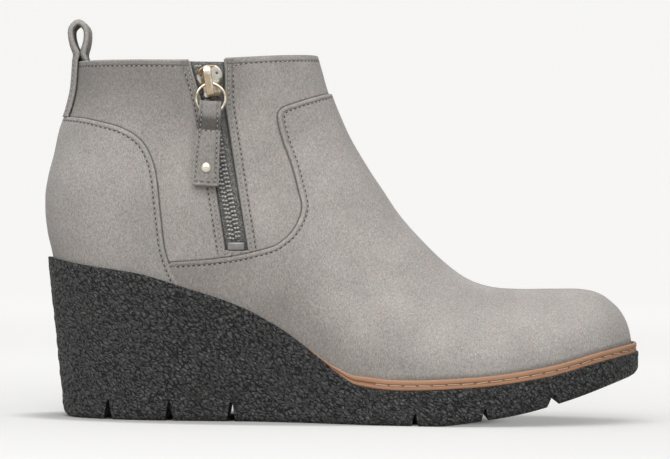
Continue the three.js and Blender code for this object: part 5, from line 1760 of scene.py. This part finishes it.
def rivet_head(name, profile, way):
    """A turned head on the tab's front (-1) or back (1), from (radius, height) pairs."""
    a = np.linspace(0, 2 * math.pi, rivet_turns, endpoint=False)
    points = np.concatenate([
        np.stack([r * np.cos(a), np.full(rivet_turns, way * (tab_half + rivet_proud + high)),
                  r * np.sin(a) + rivet_z], 1) for r, high in profile])
    points, tris, _ = weld(points, split(grid_faces(len(profile), rivet_turns, closed=True)))
    points = on_pull(points)
    outward = normals_of(points, tris)[:, 1].mean() * way > 0
    return put(name, points + offset, tris if outward else tris[:, ::-1], gold, "zip_pull")


rivet = rivet_head("rivet_cap", cap_profile, -1)
rivet_head("rivet_back", back_profile, 1)
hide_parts("pull_rivet")

# %% [markdown]
# ## Stage
# A studio picture of a shoe is taken on a paper sweep, so that no horizon shows. Here the paper is a
# round dish, flat under the boot and rising all round, so that the boot can be seen from any side. Its
# far part glows by itself, painted light in place of a backdrop lit by its own lamps. Near the boot the
# floor glows faintly for the camera only, painted light that lifts its shadows, and the paper in front
# is a little darker; close round the sole it doesn't glow, or the glow would show through the notches.

# %% Paper
paper_dish, tree, shader = material("paper", (0.9, 0.895, 0.885), 0.9)
fibres = speckle(tree, object_point(tree, (60, 60, 60)), 1.0, 3.0)
place = add(tree, "ShaderNodeTexCoord").outputs["Object"]
flat_place = vector_node(tree, "MULTIPLY", place, (1, 1, 0)).outputs[0]
far = ramp(tree, vector_node(tree, "LENGTH", flat_place).outputs["Value"], 0.35, 1.9)
behind_boot = ramp(tree, add(tree, "ShaderNodeSeparateXYZ", {0: place}).outputs["Y"], -0.15, 0.6)
near_paper = mix(tree, fibres, (0.47, 0.468, 0.463), (0.48, 0.478, 0.472))
front_paper = mix(tree, 1.0, near_paper, (0.86, 0.86, 0.86), "MULTIPLY")
near_paper = mix(tree, behind_boot, front_paper, near_paper)
tree.links.new(mix(tree, far, near_paper, (0.42, 0.418, 0.413)), shader.inputs["Base Color"])
# painted light: the far paper glows, brighter to the camera than to the boot; near the boot the floor glows
# for the camera only, which lifts its shadows, but not close round the sole
seen = add(tree, "ShaderNodeLightPath").outputs["Is Camera Ray"]
far_glow = mix(tree, seen, (0.28, 0.279, 0.276), (0.635, 0.632, 0.625))
floor_glow = mix(tree, behind_boot, (0.31, 0.3085, 0.305), (0.43, 0.428, 0.424))
squeezed = vector_node(tree, "MULTIPLY_ADD", flat_place, (10.0, 20.0, 0.0), (0.35, 0.0, 0.0)).outputs[0]
from_sole = vector_node(tree, "LENGTH", squeezed).outputs["Value"]
floor_glow = mix(tree, ramp(tree, from_sole, 0.85, 1.1), (0.0, 0.0, 0.0), floor_glow)
near_glow = mix(tree, seen, (0.05, 0.05, 0.05), floor_glow)
tree.links.new(mix(tree, far, near_glow, far_glow), shader.inputs["Emission Color"])
shader.inputs["Emission Strength"].default_value = 1.0
print("paper nodes:", len(tree.nodes))

# %% Dish, in metres
flat_radius, rise_radius, wall_radius, wall_height, dish_turns = 2.2, 0.7, 2.95, 1.9, 96
profile = [(0.0, 0.0), (0.5, 0.0), (1.2, 0.0), (flat_radius, 0.0)]
profile += [(flat_radius + rise_radius * math.sin(a), rise_radius - rise_radius * math.cos(a))
            for a in np.linspace(0.1, math.pi / 2, 12)]
profile += [(wall_radius, wall_height)]
around = [2 * math.pi * k / dish_turns for k in range(dish_turns)]
dish_points = [(r * math.cos(a), r * math.sin(a), z) for r, z in profile for a in around]
dish_faces = grid_faces(len(profile), dish_turns, closed=True)[:, ::-1]
mesh = bpy.data.meshes.new("dish")
mesh.from_pydata(dish_points, [], dish_faces.tolist())
mesh.polygons.foreach_set("use_smooth", [True] * len(mesh.polygons))
mesh.materials.append(paper_dish)
dish = bpy.data.objects.new("dish", mesh)
bpy.context.scene.collection.objects.link(dish)
print("dish faces:", len(dish_faces))

# %% [markdown]
# ## Light
# Product pictures use large soft lamps, because small ones throw hard shadows. A key lamp stands in
# front on the heel's side, a weaker fill on the toe's side, and a wide one hangs above. The room
# itself is pale, and a little brighter above.

# %% Lamps and the room's light
def lamp(name, place, aim, width, power):
    """A round soft lamp at a place in metres, turned towards its aim."""
    data = bpy.data.lights.new(name, "AREA")
    data.shape, data.size, data.energy = "DISK", width, power
    obj = bpy.data.objects.new(name, data)
    obj.location = place
    obj.rotation_euler = (Vector(aim) - Vector(place)).to_track_quat("-Z", "Y").to_euler()
    bpy.context.scene.collection.objects.link(obj)


lamp("key", (-0.3, -0.95, 0.8), (0, 0, 0.06), 1.0, 11.3)
lamp("fill", (0.4, -1.15, 0.7), (0.02, 0, 0.06), 1.0, 3.8)
lamp("over", (0.0, -0.12, 1.4), (0, 0, 0.0), 1.3, 7.0)
world = bpy.data.worlds.new("room")
world.use_nodes = True
room_light = world.node_tree
direction = add(room_light, "ShaderNodeTexCoord").outputs["Generated"]
height_in_room = add(room_light, "ShaderNodeSeparateXYZ", {0: direction}).outputs["Z"]
background = room_light.nodes["Background"]
background.inputs["Color"].default_value = (1.0, 0.995, 0.985, 1)
room_light.links.new(ramp(room_light, height_in_room, 0.0, 0.8, 0.25, 0.62), background.inputs["Strength"])
bpy.context.scene.world = world
print("lamps:", [light.name for light in bpy.data.lights])

# %% [markdown]
# ## Camera
# A long lens from 1.3 m away keeps the boot's lines almost parallel, as the photo shows them. The
# camera stands level with the instep and is turned three quarters of a degree, as the photo is.

# %% Camera
photo_width, focal_pixels, sensor = 670.0, 3081.0, 36.0
eye = bpy.data.cameras.new("camera")
eye.sensor_width, eye.lens = sensor, focal_pixels * sensor / photo_width
eye.clip_start, eye.clip_end = 0.05, 20
camera = bpy.data.objects.new("camera", eye)
bpy.context.scene.collection.objects.link(camera)
camera.location = (-3.44 * MM, -1297.4 * MM, 79.8 * MM)
camera.rotation_euler = (math.radians(90), math.radians(-0.75), 0)
bpy.context.scene.camera = camera
bpy.context.scene.view_settings.view_transform = "Standard"
print("lens:", round(eye.lens, 1), "mm")
